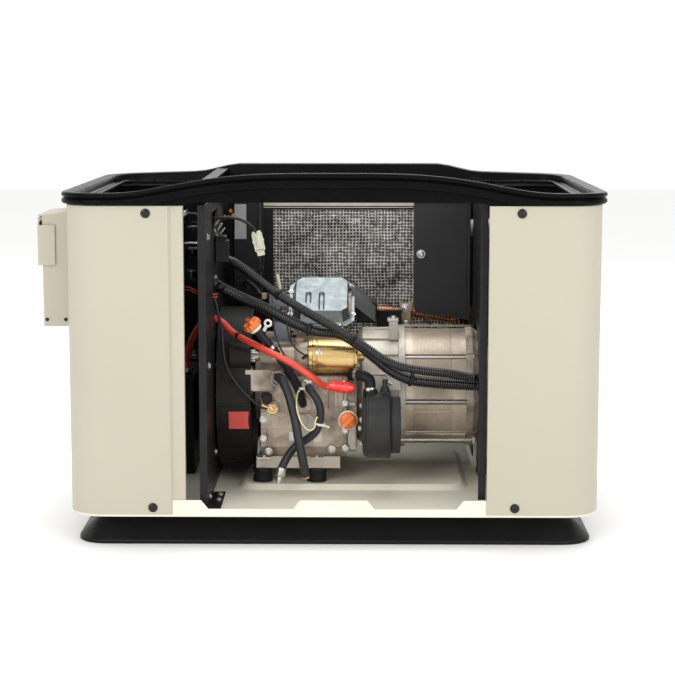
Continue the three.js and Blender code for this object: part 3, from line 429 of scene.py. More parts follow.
def foil_and_scrim(slot):
    """Crumpled foil under a square net of glass threads."""
    made, tree, shader = new_material(slot)
    place = node(tree, "ShaderNodeTexCoord").outputs["Object"]
    inputs = {"Vector": place, "Scale": 26.0, "Detail": 3.0}
    wander = node(tree, "ShaderNodeTexNoise", inputs).outputs["Color"]
    drift = node(tree, "ShaderNodeVectorMath", {0: wander, 1: (0.5, 0.5, 0.5)}, operation="SUBTRACT")
    drift = node(tree, "ShaderNodeVectorMath", {0: drift.outputs[0], "Scale": 0.006}, operation="SCALE")
    place = node(tree, "ShaderNodeVectorMath", {0: place, 1: drift.outputs[0]}, operation="ADD").outputs[0]
    axes = node(tree, "ShaderNodeSeparateXYZ", {"Vector": place})
    pitch = 0.0063
    threads = []
    for axis in ("X", "Z"):
        phase = math_node(tree, "FRACT", math_node(tree, "DIVIDE", axes.outputs[axis], pitch))
        off = math_node(tree, "ABSOLUTE", math_node(tree, "SUBTRACT", phase, 0.5))
        threads.append(ranged(tree, off, 1.0, 0.0, 0.09, 0.22))
    net = math_node(tree, "MAXIMUM", *threads)
    broken = math_node(tree, "MULTIPLY", net, ranged(tree, noise_node(tree, 130, 3), 0.25, 1.0, 0.36, 0.56))
    dirt = ranged(tree, noise_node(tree, 12, 7, distortion=1.2), 0.0, 1.0, 0.42, 0.66)
    cell = mix_colour(tree, dirt, (0.085, 0.08, 0.074), (0.018, 0.017, 0.016))
    thread = mix_colour(tree, dirt, (0.86, 0.84, 0.79), (0.46, 0.44, 0.40))
    tree.links.new(mix_colour(tree, broken, cell, thread), shader.inputs["Base Color"])
    tree.links.new(ranged(tree, broken, 0.85, 0.15, 0.0, 1.0), shader.inputs["Metallic"])
    tree.links.new(ranged(tree, broken, 0.3, 0.55, 0.0, 1.0), shader.inputs["Roughness"])
    crumple = math_node(tree, "ADD", math_node(tree, "MULTIPLY", broken, 0.35), noise_node(tree, 240, 5))
    set_bump(tree, shader, crumple, 1.1)
    return made, slot


# Each look has a material and the slot of the CAD that it stands for. Some slots have more than one look.
FINISHES = {
    "cream": finish("cream_paint", (0.462, 0.43, 0.342), 0.45, (0.434, 0.403, 0.318), blotch=3, spread=0.6,
                    grain=1500, depth=0.012, specular=0.35),
    # The pan's paint is the body's cream made much lighter: painted light, standing in for the light on the
    # floor of the bay.
    "pan": finish("pan_paint", (0.80, 0.765, 0.64), 0.42, (0.66, 0.635, 0.52), blotch=9, spread=0.45,
                  grain=1300, depth=0.015, specular=0.35),
    "moulding": finish("black_moulding", (0.0022, 0.0022, 0.0026), 0.3, (0.0045, 0.0045, 0.005), grain=2200,
                       depth=0.03, specular=0.06),
    "pad": finish("black_moulding", (0.005, 0.005, 0.0055), 0.4, (0.009, 0.009, 0.01), grain=1200,
                  depth=0.08, specular=0.16, name="pad_composite"),
    "steel_black": finish("black_sheet_steel", (0.0085, 0.0085, 0.0095), 0.36, (0.016, 0.016, 0.017),
                          grain=1400, depth=0.02, specular=0.22),
    "shield": finish("black_sheet_steel", (0.026, 0.0265, 0.028), 0.45, (0.034, 0.034, 0.035), blotch=8,
                     grain=1400, depth=0.02, specular=0.2, name="shield_steel"),
    "liner": finish("electrical_black", (0.006, 0.006, 0.0065), 0.85, (0.012, 0.012, 0.012), blotch=60,
                    grain=500, depth=0.6, specular=0.1, name="lining_foam"),
    "fan_cover": finish("fan_cover_paint", (0.0095, 0.009, 0.0085), 0.46, (0.024, 0.021, 0.019), grain=900,
                        depth=0.04, specular=0.2),
    "screw_black": finish("black_screws", (0.012, 0.012, 0.013), 0.3, metallic=0.3, grain=1500),
    "foil": foil_and_scrim("foil_scrim"),
    "electrical": finish("electrical_black", (0.010, 0.010, 0.011), 0.42, (0.018, 0.018, 0.02), grain=1600,
                         specular=0.22),
    "battery": finish("battery_case", (0.009, 0.009, 0.010), 0.4, (0.018, 0.018, 0.02), grain=1500,
                      specular=0.22),
    "red_button": finish("switch_red", (0.62, 0.03, 0.02), 0.28, (0.5, 0.02, 0.015), coat=0.3),
    "cast": finish("cast_alloy", (0.54, 0.455, 0.37), 0.46, (0.13, 0.098, 0.073), metallic=0.35, blotch=22,
                   spread=0.85, rough_spread=0.12, grain=650, depth=0.16, specular=0.35),
    "cast_pale": finish("cast_alloy", (0.53, 0.49, 0.43), 0.42, (0.32, 0.275, 0.225), metallic=0.45,
                        blotch=25, spread=0.6, grain=650, depth=0.12, name="machined_casting"),
    "galvanised": galvanised("galvanised_cover", (0.26, 0.295, 0.30), (0.16, 0.188, 0.195), 0.27),
    "laminations": finish("laminations", (0.56, 0.475, 0.38), 0.38, (0.28, 0.225, 0.175), metallic=0.5,
                          blotch=12, spread=0.8, grain=1000, depth=0.03),
    "machined": finish("machined_steel", (0.50, 0.49, 0.47), 0.3, (0.36, 0.34, 0.32), metallic=0.95,
                       blotch=30, grain=1600, depth=0.02),
    "zinc_bolt": finish("machined_steel", (0.58, 0.57, 0.545), 0.3, (0.36, 0.34, 0.31), metallic=0.9,
                        blotch=60, grain=1600, depth=0.02, name="zinc_plate"),
    "rail": finish("machined_steel", (0.50, 0.445, 0.385), 0.42, (0.36, 0.31, 0.26), metallic=0.5,
                   blotch=18, grain=900, depth=0.05, name="rail_steel"),
    "gold": finish("starter_zinc", (0.66, 0.455, 0.19), 0.26, (0.56, 0.43, 0.22), metallic=0.95, blotch=9,
                   spread=0.7, rough_spread=0.04, grain=1500, depth=0.003),
    "copper": finish("armature_copper", (0.62, 0.29, 0.13), 0.32, (0.4, 0.17, 0.08), metallic=0.9,
                     grain=1500),
    "rubber": finish("isolator_rubber", (0.009, 0.009, 0.010), 0.55, (0.015, 0.015, 0.017), grain=1400,
                     depth=0.05, specular=0.2),
    "air_box": finish("air_box_plastic", (0.008, 0.008, 0.009), 0.42, (0.014, 0.014, 0.016), grain=1700,
                      specular=0.22),
    "regulator": finish("regulator_black", (0.020, 0.0195, 0.020), 0.44, (0.034, 0.032, 0.031), blotch=30,
                        grain=900, depth=0.05, specular=0.25),
    "muffler": finish("muffler_steel", (0.30, 0.27, 0.24), 0.4, (0.17, 0.135, 0.11), metallic=0.85,
                      blotch=18),
    "bellows": finish("bellows_brown", (0.66, 0.34, 0.19), 0.26, (0.30, 0.13, 0.07), metallic=0.95,
                      blotch=22, spread=0.9, grain=1200, depth=0.02),
    "filler": finish("filler_black", (0.010, 0.010, 0.011), 0.45, grain=1500, specular=0.25),
    "orange": finish("cap_orange", (0.80, 0.185, 0.03), 0.36, (0.66, 0.125, 0.018), blotch=60, grain=1500,
                     coat=0.15),
    "conduit": finish("loom_conduit", (0.004, 0.004, 0.005), 0.24, (0.009, 0.009, 0.011), blotch=40,
                      grain=2000, depth=0.01, specular=0.5),
    "red_cable": finish("red_insulation", (0.68, 0.062, 0.036), 0.36, (0.55, 0.045, 0.028), blotch=50,
                        grain=1200, coat=0.1),
    "black_cable": finish("black_insulation", (0.014, 0.014, 0.016), 0.4, (0.026, 0.026, 0.028), blotch=50,
                          specular=0.3),
    "hose": finish("hose_rubber", (0.022, 0.023, 0.025), 0.42, (0.036, 0.036, 0.039), blotch=40, grain=1300,
                   depth=0.04, specular=0.28),
    "nylon": finish("connector_white", (0.74, 0.72, 0.58), 0.4, (0.62, 0.59, 0.43), blotch=60, grain=900),
    "brass": finish("starter_zinc", (0.66, 0.46, 0.20), 0.3, (0.5, 0.34, 0.15), metallic=0.9, blotch=80,
                    name="brass"),
    "yellow_wire": finish("connector_white", (0.72, 0.64, 0.26), 0.4, (0.74, 0.56, 0.50), blotch=26,
                          spread=1.0, name="yellow_insulation"),
    "pale_wire": finish("connector_white", (0.66, 0.64, 0.6), 0.4, blotch=60, name="pale_insulation"),
    # painted highlight: the pale strip along the top of the blanket
    "painted_highlight": finish("foil_scrim", (0.56, 0.50, 0.42), 0.4, (0.42, 0.35, 0.29), metallic=0.3, blotch=40,
                   name="painted_highlight_line"),
    "window": finish("electrical_black", (0.05, 0.07, 0.06), 0.12, blotch=30, grain=300, depth=0.002,
                     coat=0.6, name="blank_display"),
    "pale_tag": finish("pan_paint", (0.62, 0.62, 0.58), 0.45, blotch=60, name="pale_tag"),
    "red_boot": finish("red_insulation", (0.78, 0.026, 0.022), 0.24, (0.6, 0.016, 0.016), blotch=60,
                       grain=500, coat=0.5, name="soft_boot"),
    "fin_metal": finish("cast_alloy", (0.125, 0.135, 0.128), 0.36, (0.07, 0.075, 0.072), metallic=0.6,
                        blotch=30, name="painted_fins"),
    "blue_steel": finish("galvanised_cover", (0.25, 0.285, 0.315), 0.38, (0.15, 0.17, 0.20), metallic=0.7,
                         blotch=24, name="baffle_steel"),
    "tan": finish("connector_white", (0.46, 0.35, 0.25), 0.4, blotch=50, name="plug_insulator"),
    "flange": finish("muffler_steel", (0.42, 0.34, 0.245), 0.42, (0.2, 0.14, 0.09), metallic=0.7, blotch=60,
                     name="flange_steel"),
    "label": finish("pan_paint", (0.36, 0.365, 0.36), 0.5, (0.28, 0.28, 0.28), blotch=60,
                    name="plain_label"),
    "red_label": finish("switch_red", (0.66, 0.085, 0.07), 0.45, (0.52, 0.05, 0.04), blotch=60,
                        name="plain_red_label"),
}


def make_floor():
    half = 9.0
    mesh = bpy.data.meshes.new("floor")
    mesh.from_pydata([(-half, -half, 0), (half, -half, 0), (half, half, 0), (-half, half, 0)], [],
                     [(0, 1, 2, 3)])
    floor = bpy.data.objects.new("floor", mesh)
    bpy.context.scene.collection.objects.link(floor)
    material, tree, shader = new_material("floor")
    tone = mix_colour(tree, noise_node(tree, 1.2, 3), (0.94, 0.94, 0.935), (0.92, 0.92, 0.915))
    tree.links.new(tone, shader.inputs["Base Color"])
    shader.inputs["Roughness"].default_value = 0.75
    mesh.materials.append(material)


make_floor()


# ---- cords, hoses and looms ----
LOWER_LOOM = [
    (-0.2614, -0.159, 0.446), (-0.252, -0.159, 0.446), (-0.24, -0.14, 0.44), (-0.225, -0.105, 0.43),
    (-0.208, -0.086, 0.418), (-0.17, -0.096, 0.4), (-0.124, -0.12, 0.383), (-0.079, -0.137, 0.362),
    (-0.035, -0.147, 0.346), (0.009, -0.152, 0.341), (0.04, -0.16, 0.324), (0.07, -0.165, 0.301),
    (0.1, -0.168, 0.278), (0.131, -0.168, 0.264), (0.184, -0.16, 0.256), (0.225, -0.15, 0.252),
    (0.245, -0.147, 0.25), (0.254, -0.147, 0.25),
]
UPPER_LOOM = [
    (-0.2614, -0.13, 0.484), (-0.252, -0.13, 0.484), (-0.24, -0.112, 0.482), (-0.222, -0.076, 0.474),
    (-0.204, -0.066, 0.466), (-0.179, -0.08, 0.459), (-0.143, -0.1, 0.436), (-0.107, -0.117, 0.411),
    (-0.062, -0.138, 0.386), (-0.018, -0.162, 0.364), (0.018, -0.178, 0.345), (0.053, -0.188, 0.324),
    (0.087, -0.195, 0.302), (0.117, -0.195, 0.29), (0.157, -0.19, 0.282), (0.201, -0.18, 0.276),
    (0.235, -0.169, 0.268), (0.246, -0.166, 0.267), (0.254, -0.166, 0.267),
]
BATTERY_CABLE = [
    (-0.275, 0.004, 0.2596), (-0.275, 0.004, 0.268), (-0.272, -0.008, 0.286), (-0.258, -0.046, 0.322),
    (-0.236, -0.092, 0.354), (-0.215, -0.113, 0.364), (-0.2, -0.12, 0.358), (-0.182, -0.13, 0.342),
    (-0.131, -0.167, 0.32), (-0.077, -0.192, 0.297), (-0.043, -0.192, 0.274), (-0.026, -0.176, 0.258),
    (-0.018, -0.165, 0.251), (-0.015, -0.163, 0.25), (-0.01, -0.163, 0.25),
]
GROUND_CABLE = [
    (-0.275, 0.164, 0.2596), (-0.275, 0.164, 0.27), (-0.27, 0.14, 0.3), (-0.25, 0.06, 0.366),
    (-0.232, -0.04, 0.4), (-0.222, -0.11, 0.408), (-0.212, -0.14, 0.402), (-0.204, -0.159, 0.376),
    (-0.198, -0.16, 0.349), (-0.196, -0.16, 0.314), (-0.188, -0.16, 0.279), (-0.167, -0.158, 0.246),
    (-0.146, -0.155, 0.224), (-0.13, -0.15, 0.211), (-0.119, -0.146, 0.208),
]
DRAIN_HOSE = [
    (-0.101, -0.1306, 0.259), (-0.101, -0.146, 0.259), (-0.099, -0.16, 0.266), (-0.092, -0.172, 0.262),
    (-0.084, -0.181, 0.248), (-0.075, -0.192, 0.222), (-0.069, -0.2, 0.2), (-0.062, -0.206, 0.16),
    (-0.055, -0.204, 0.124), (-0.051, -0.198, 0.098),
]
BREATHER_HOSE = [
    (-0.045, -0.1306, 0.247), (-0.045, -0.146, 0.247), (-0.046, -0.163, 0.247), (-0.04, -0.175, 0.242),
    (-0.031, -0.181, 0.23), (-0.025, -0.182, 0.212), (-0.026, -0.18, 0.194), (-0.033, -0.177, 0.173),
    (-0.048, -0.175, 0.159), (-0.068, -0.175, 0.146), (-0.084, -0.18, 0.126), (-0.093, -0.186, 0.108),
    (-0.096, -0.188, 0.096),
]
CONNECTOR_LEAD = [
    (-0.2574, -0.112, 0.549), (-0.25, -0.112, 0.549), (-0.232, -0.114, 0.545), (-0.2134, -0.118, 0.542),
    (-0.206, -0.119, 0.542), (-0.196, -0.12, 0.543), (-0.18, -0.12, 0.543), (-0.163, -0.117, 0.538),
    (-0.15, -0.111, 0.529), (-0.142, -0.105, 0.519), (-0.138, -0.101, 0.51),
]


def smooth_cord(name, points, diameter, look, replaces=None):
    """A plain round cable or hose along its route, in metres."""
    step = 0.004
    line = route(points, step)
    data = bpy.data.curves.new(name, "CURVE")
    data.dimensions = "3D"
    data.bevel_depth = diameter / 2
    data.bevel_resolution = 5
    data.use_fill_caps = True
    spline = data.splines.new("POLY")
    spline.points.add(len(line) - 1)
    for point, at in zip(spline.points, line):
        point.co = (*at, 1)
    obj = add_object(name, data, look, "root")
    if replaces:
        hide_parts(replaces)
    return line


def conduit(name, points, diameter, replaces):
    """A corrugated split conduit: narrow ridges with valleys between them."""
    pitch = 0.0042
    line = route(points, pitch / 4)
    ridge, valley = diameter / 2, diameter / 2 - 0.0016
    radius = [valley, ridge, ridge, valley]
    shape = sweep(line, lambda i: radius[i % 4], 16)
    obj = piece(name, [shape], "conduit", edge=0, smooth=60, replaces=replaces)
    return line


def on_cord(line, share, way):
    """The point at a share of a cord's route, the ways along it and out of it, and the turn to those."""
    i = max(1, min(len(line) - 2, round(share * (len(line) - 1))))
    along = (line[i + 1] - line[i - 1]).normalized()
    out = Vector(way)
    out = (out - out.dot(along) * along).normalized()
    turn = Matrix((along, along.cross(out), out)).transposed().to_4x4()
    return line[i], along, out, turn


def band(line, share, radius, width, look, name, tail=0.0, way=(0, -1, 0.3)):
    """A tie round a cord, in metres; tail is the length of the end that sticks out."""
    place, along, out, turn = on_cord(line, share, way)
    half, r = width / 2 / MM, radius / MM
    head = Matrix.Translation(place + out * (radius + 0.0015)) @ turn
    shapes = [lathe([(-half, r - 0.5), (-half, r + 1.0), (half, r + 1.0), (half, r - 0.5)], place, along,
                    20), moved(block(-half - 0.6, half + 0.6, -2.4, 2.4, -1.6, 2.2), head)]
    if tail:
        shapes.append(moved(block(-half * 0.8, half * 0.8, -0.6, 0.6, 0, tail / MM), head))
    piece(name, shapes, look, edge=0.2)


def worm_clamp(line, share, radius, name):
    """A steel band clamp round a hose, with its screw housing on top."""
    place, along, out, turn = on_cord(line, share, Z)
    r = radius / MM
    ring = [(-4.5, r - 0.4), (-4.5, r + 0.5), (-3.9, r + 0.9), (-3.2, r + 0.5), (3.2, r + 0.5),
            (3.9, r + 0.9), (4.5, r + 0.5), (4.5, r - 0.4)]
    head = Matrix.Translation(place + out * (radius + 0.002)) @ turn
    housing = moved(block(-4.2, 4.2, -5, 5, -1.5, 3), head)
    screw = bolt(head @ Vector((0, 0.004, 0.0015)), head.to_3x3() @ Y, 4.4, head=6, washer=False)
    piece(name, [lathe(ring, place, along, 28), housing, *screw], "zinc_bolt", edge=0.25)


def eye(place, way, radius, look, name, out):
    """A ring terminal lying flat against a face that way points out of, its crimped barrel along out."""
    out = Vector(out).normalized()
    r = radius / MM
    ring = lathe([(0, r * 0.45), (0, r), (1.4, r), (1.4, r * 0.45)], place, way, 24)
    start = place + out * radius * 0.8 + way * 0.001
    barrel = lathe([(0, 0), (0, 2.2), (11, 3.0), (13, 3.0), (13, 0)], start, out, 14)
    piece(name, [ring, barrel], look, edge=0.15)


def make_cords():
    lower = conduit("lower_loom_conduit", LOWER_LOOM, 0.02, "lower_loom")
    upper = conduit("upper_loom_conduit", UPPER_LOOM, 0.016, "upper_loom")
    red = smooth_cord("battery_cable_run", BATTERY_CABLE, 0.012, "red_cable",
                      replaces="battery_cable")
    smooth_cord("ground_cable_run", GROUND_CABLE, 0.0056, "black_cable", replaces="ground_cable")
    drain = smooth_cord("drain_hose_run", DRAIN_HOSE, 0.016, "hose", replaces="drain_hose")
    breather = smooth_cord("breather_hose_run", BREATHER_HOSE, 0.014, "hose",
                           replaces="breather_hose")
    worm_clamp(drain, 0.085, 0.008, "drain_hose_clamp")
    worm_clamp(breather, 0.08, 0.007, "breather_hose_clamp")
    band(breather, 0.47, 0.007, 0.004, "nylon", "breather_hose_tie", 0.012, (1, -0.4, -0.2))
    ties = [(lower, 0.47, 0.011, 0.005), (lower, 0.8, 0.011, 0.005), (upper, 0.36, 0.0085, 0.0045),
            (upper, 0.62, 0.0085, 0.0045)]
    for i, tie in enumerate(ties):
        band(*tie, "electrical", "loom_tie_" + str(i + 1), 0.008)
    band(red, 0.53, 0.006, 0.004, "electrical", "battery_cable_tie")
    plug = [(-6, 0), (-6, 6), (0.5, 6), (1, 7.5), (4, 7.5), (5, 5), (5, 0)]
    way = (drain[-1] - drain[-2]).normalized()
    piece("drain_hose_plug", [lathe(plug, drain[-1], way, 6)], "brass", edge=0.3)
    way = (breather[-1] - breather[-2]).normalized()
    fitting = [(-14, 0), (-14, 8.6), (-12, 8.9), (-2, 8.9), (0, 8.4), (2, 5.5), (9, 5.5), (10, 4), (14, 4),
               (14, 0)]
    piece("breather_hose_fitting", [lathe(fitting, breather[-1], way, 24)], "zinc_bolt", edge=0.3)

    for name, y, z, hole, lip in (("low", -0.147, 0.25, 9.4, 15.5), ("high", -0.166, 0.2675, 7.4, 12)):
        grommet = [(-2.5, hole), (-2.5, lip), (-0.3, lip + 0.5), (1.2, lip), (1.2, hole)]
        piece("loom_grommet_" + name, [lathe(grommet, (0.2545, y, z), X, 28)], "rubber", edge=0.3)

    make_connector()
    make_thin_wires()


def make_connector():
    """A translucent nylon plug housing that hangs on its lead, with a latch, ribs and two wires."""
    place = turned((-0.137, -0.1, 0.502), -0.22, "Y")
    shell = [block(-9, 9, -7, 7, -17, 12), block(-7.5, 7.5, -5.6, 5.6, 11, 15.5),
             block(-10, 10, -7.8, 7.8, -4, 0), block(-3, 3, -9.2, -6, -12, 8),
             block(-1.8, 1.8, -10.4, -8, 2, 7)]
    shell += [block(x - 1.1, x + 1.1, -7.8, 7.8, -19, -6) for x in (-7.6, 7.6)]
    collar = [block(-6.4, 6.4, -5.4, 5.4, -28, -18), block(-7.4, 7.4, -6, 6, -21, -19.6)]
    plug = piece("plug_housing", all_moved(shell, place), "nylon", edge=0.5)
    back = piece("plug_rear_shell", all_moved(collar, place), "nylon", edge=0.4)
    smooth_cord("connector_lead_run", CONNECTOR_LEAD, 0.0052, "black_cable",
                replaces="connector_lead")
    for i, shift in enumerate((-0.0035, 0.0035)):
        top = place @ Vector((shift, 0, -0.026))
        points = [top, top + Vector((0.001, 0, -0.01)), top + Vector((0.001 - shift, 0.012, -0.026)),
                  top + Vector((-0.012, 0.045, -0.036)), top + Vector((-0.03, 0.1, -0.035)),
                  Vector((-0.185, 0.137, 0.436 + shift))]
        smooth_cord("sensor_wire_" + str(i + 1), points, 0.0022, "black_cable")


def make_thin_wires():
    """Single wires between the looms, the starter, the senders and the control bay."""
    loop = [(-0.062, -0.1300, 0.2425), (-0.063, -0.150, 0.2435), (-0.066, -0.172, 0.236),
            (-0.0655, -0.207, 0.219), (-0.06, -0.213, 0.201), (-0.052, -0.212, 0.187),
            (-0.042, -0.208, 0.18), (-0.0345, -0.209, 0.186), (-0.0335, -0.212, 0.196),
            (-0.03, -0.2075, 0.204)]
    smooth_cord("sender_loop_wire", loop, 0.0026, "yellow_wire")
    starter = [(-0.0845, -0.140, 0.3655), (-0.083, -0.149, 0.352), (-0.079, -0.156, 0.332),
               (-0.07, -0.158, 0.318), (-0.06, -0.156, 0.309), (-0.05, -0.152, 0.303)]
    smooth_cord("starter_signal_wire", starter, 0.0028, "black_cable")
    sender = [(-0.106, -0.128, 0.3745), (-0.108, -0.142, 0.364), (-0.107, -0.156, 0.352),
              (-0.1, -0.166, 0.331), (-0.092, -0.165, 0.312), (-0.082, -0.16, 0.297),
              (-0.078, -0.148, 0.29), (-0.077, -0.135, 0.287)]
    smooth_cord("sender_wire", sender, 0.003, "black_cable")
    for i, (high, back) in enumerate(((0.0, 0.0), (-0.0055, 0.004))):
        red = [(-0.2602, -0.18 + back, 0.428 + high), (-0.252, -0.186 + back, 0.4275 + high),
               (-0.241, -0.19 + back, 0.423 + high), (-0.23, -0.18 + back, 0.418 + high),
               (-0.221, -0.156 + back, 0.414 + high), (-0.2105, -0.142 + back, 0.41 + high),
               (-0.2085, -0.118 + back, 0.408 + high)]
        smooth_cord("relay_wire_" + str(i + 1), red, 0.0024, "red_cable")
    for i, (x, z) in enumerate(((-0.221, 0.528), (-0.2145, 0.521), (-0.208, 0.516))):
        bare = [(-0.2585, -0.124 - i * 0.004, z + 0.006), (-0.247, -0.128 - i * 0.004, z + 0.008),
                (-0.234, -0.124, z + 0.005), (x, -0.11, z), (x + 0.004, -0.09, z - 0.012),
                (x + 0.004, -0.07, z - 0.034), (x + 0.001, -0.069, 0.476)]
        smooth_cord("control_wire_" + str(i + 1), bare, 0.0021, "pale_wire" if i == 1 else "black_cable")


# ---- enclosure ----
def rounded_ring(half_x, half_y, radius, corner_steps, side_steps):
    """Points round a rounded rectangle with the direction that each faces: [(x, y, nx, ny), ...]."""
    ring = []
    for corner, (sx, sy) in enumerate(((1, -1), (1, 1), (-1, 1), (-1, -1))):
        cx, cy = sx * (half_x - radius), sy * (half_y - radius)
        for i in range(corner_steps + 1):
            turn = (corner - 1 + i / corner_steps) * math.pi / 2
            nx, ny = math.cos(turn), math.sin(turn)
            ring.append((cx + radius * nx, cy + radius * ny, nx, ny))
        after = [(1, 1), (-1, 1), (-1, -1), (1, -1)][corner]
        x, y, nx, ny = ring[-1]
        ex = after[0] * (half_x - radius) + radius * nx
        ey = after[1] * (half_y - radius) + radius * ny
        for i in range(1, side_steps):
            share = i / side_steps
            ring.append((x + (ex - x) * share, y + (ey - y) * share, nx, ny))
    return ring


def make_rim():
    """A moulded frame: a round bead, a groove and a second band outside, and a gutter for the lid inside."""
    low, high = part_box("top_rim")
    overhang = 8
    half_x, half_y = high.x / MM - overhang, high.y / MM - overhang
    skirt, raised_skirt = low.z / MM, 583.4
    opening, ramp = 252, 16  # the skirt is raised over the service opening, with a ramp at each end
    top_level, arch, arch_reach = 599.5, 33, 370
    back_level, shoulder, saddle = 595.5, 5.5, 15.5

    def top_at(x, y):
        if y < CORNER - half_y:
            return top_level + arch * (0.5 + 0.5 * math.cos(math.pi * min(1, abs(x) / arch_reach) ** 1.8))
        if y > half_y - CORNER:
            climb = max(0.0, min(1.0, (282 - abs(x)) / 92))
            return (back_level + shoulder * min(1.0, (BODY_X - abs(x)) / 170)
                    + saddle * climb * climb * (3 - 2 * climb))
        return top_level - 4 * (0.5 + 0.5 * max(-1, min(1, y / 260)))

    rings = []
    for x, y, nx, ny in rounded_ring(half_x, half_y, CORNER, 14, 36):
        top = top_at(x, y)
        lift = max(0.0, min(1.0, (opening - abs(x)) / ramp)) * (raised_skirt - skirt) if y < 0 else 0
        foot = skirt + lift
        step = max(foot + 1, top - 26)
        turns = [math.radians(d) for d in (178, 150, 120, 90, 60, 30, 5)]
        bead = [(-3.6 - 4.4 * math.sin(a), top - 4.4 + 4.4 * math.cos(a)) for a in turns]
        section = [(0.4, foot + 0.2), (0, foot + 0.6), (0, step), (-5.4, step + 0.8), (-7.2, step + 2.4),
                   (-7.8, step + 4.6), (-7.8, max(step + 5.2, top - 15)), (-7.4, top - 12.2),
                   (-6.0, top - 10.9), (-4.4, top - 10.2), *bead, (3, top - 0.6), (11, top - 0.6),
                   (13.4, top - 1.6), (14.6, top - 4), (16, top - 13), (19, min(top - 15, foot + 9)),
                   (31, foot + 6.5), (33.4, foot + 5.6), (34, foot + 4), (34, foot + 0.3)]
        rings.append([mm(x - nx * inset, y - ny * inset, z) for inset, z in section])
    crossbar = [block(-238, -216, 15 - half_y, half_y - 15, 601, 607),
                block(-233, -221, 16 - half_y, half_y - 16, 596, 602)]
    ribs = []
    for side in (-1, 1):
        y = side * (half_y - 33)
        for x in range(-360, 361, 60):
            foot = raised_skirt if side < 0 and abs(x) < opening else skirt
            ribs.append(block(x - 1.2, x + 1.2, y - 1, y + 1, foot + 1, foot + 8))
    piece("top_rim_moulding", [rings_to_shape(rings, closed=True), *crossbar, *ribs], "moulding", edge=0.5,
          smooth=50, replaces="top_rim")


def hood(side, y, z):
    """A pressed louvre over an air slot: a half-round scoop, open underneath."""
    x = side * BODY_X
    rings = []
    steps = 12
    for i in range(steps + 1):
        across = -1 + 2 * i / steps
        reach = 5.6 * math.sqrt(max(0.0, 1 - abs(across) ** 3))
        arc = [(math.cos(math.radians(a)), math.sin(math.radians(a))) for a in (0, 22, 45, 68, 90)]
        outer = [(x + side * (reach * c - 0.2), z + 6 + 7.5 * s) for c, s in arc]
        inner = [(x + side * (max(reach - 1.2, -0.1) * c - 0.6), z + 6 + 6.4 * s) for c, s in reversed(arc)]
        rings.append([mm(px, y + across * 49, pz) for px, pz in outer + inner])
    return rings_to_shape(rings)


def make_enclosure():
    dress("mounting_pad", "pad", 2.5, 3)
    # the base pan takes the lightened cream, painted light on the floor of the bay
    dress("base_pan", "pan", 1.3, 3)
    for node_name in ("left_end_panel", "right_end_panel", "back_panel"):
        dress(node_name, "cream", 0)
    make_liner()
    make_rim()
    for name, side, rows, columns in (("left", -1, 5, (20, 140)), ("right", 1, 9, (-60, 60))):
        hoods = [hood(side, y, 154 + row * 36) for row in range(rows) for y in columns]
        piece("louvres_" + name, hoods, "cream", edge=0.2, smooth=60)
    for i, (x, z) in enumerate(((-311, 566), (311, 566), (-305, 69), (305, 69))):
        face = mm(x, -320.3, z)
        washer = lathe([(-0.2, 0), (-0.2, 8), (0.9, 8), (1.4, 7.2), (1.4, 0)], face, -Y, 30)
        dome = [(1, 0), (1, 5.4), (2.4, 5.4), (3.8, 4.6), (4.4, 3.2), (4.4, 2.5), (2.6, 2.3), (2.6, 0)]
        head = lathe(dome, face, -Y, 30)
        shank = disc(0, 2.4, 2.4, face, Y, 12)
        piece("panel_screw_head_" + str(i + 1), [washer, head, shank], "screw_black", edge=0.25,
              replaces="panel_screw_" + str(i + 1))
    spots = [(x, z) for x in (-286, -143, 0, 143, 286) for z in (84, 560)]
    spots += [(x, z) for x in (-286, 286) for z in (240, 400)]
    back = [pan_head(mm(x, BODY_Y, z), Y, 5.2, 2.6) for x, z in spots]
    piece("back_screws", back, "screw_black", edge=0.2)
    feet = [pan_head(mm(side * BODY_X, y, 74), side * X, 4.6, 2.4) for side in (-1, 1)
            for y in (-190, 0, 190)]
    piece("end_screws", feet, "screw_black", edge=0.2)
    make_dividers()
    make_insulation()


def make_liner():
    """Black foam on the inner faces of the end panels and the back, cut away round the air slots."""
    gap, thick, front = 2.4, 5, -255
    ring = rounded_ring(BODY_X - gap, BODY_Y - gap, CORNER - gap, 10, 30)
    ring = [spot for spot in ring if spot[1] > front]
    # heights, and the sides that have air slots there
    bands = [(66, 146, ()), (146, 300, (-1, 1)), (300, 450, (1,)), (450, 572, ())]
    shapes = []
    for low, high, slotted in bands:
        runs, run = [], []
        for x, y, nx, ny in ring:
            side = 1 if x > 0 else -1
            middle, reach = (80, 128) if side < 0 else (0, 96)
            if side in slotted and abs(nx) > 0.99 and abs(y - middle) < reach:
                runs.append(run)
                run = []
                continue
            run.append((x, y, nx, ny))
        runs.append(run)
        for run in runs:
            if len(run) > 1:
                outer = [(x, y) for x, y, nx, ny in run]
                inner = [(x - nx * thick, y - ny * thick) for x, y, nx, ny in reversed(run)]
                shapes.append(prism(outer + inner, "z", low, high))
    shapes += [block(side * 290 - 14, side * 290 + 14, 305, 314, 66, 572) for side in (-1, 1)]
    piece("lining_foam", shapes, "liner", edge=0)


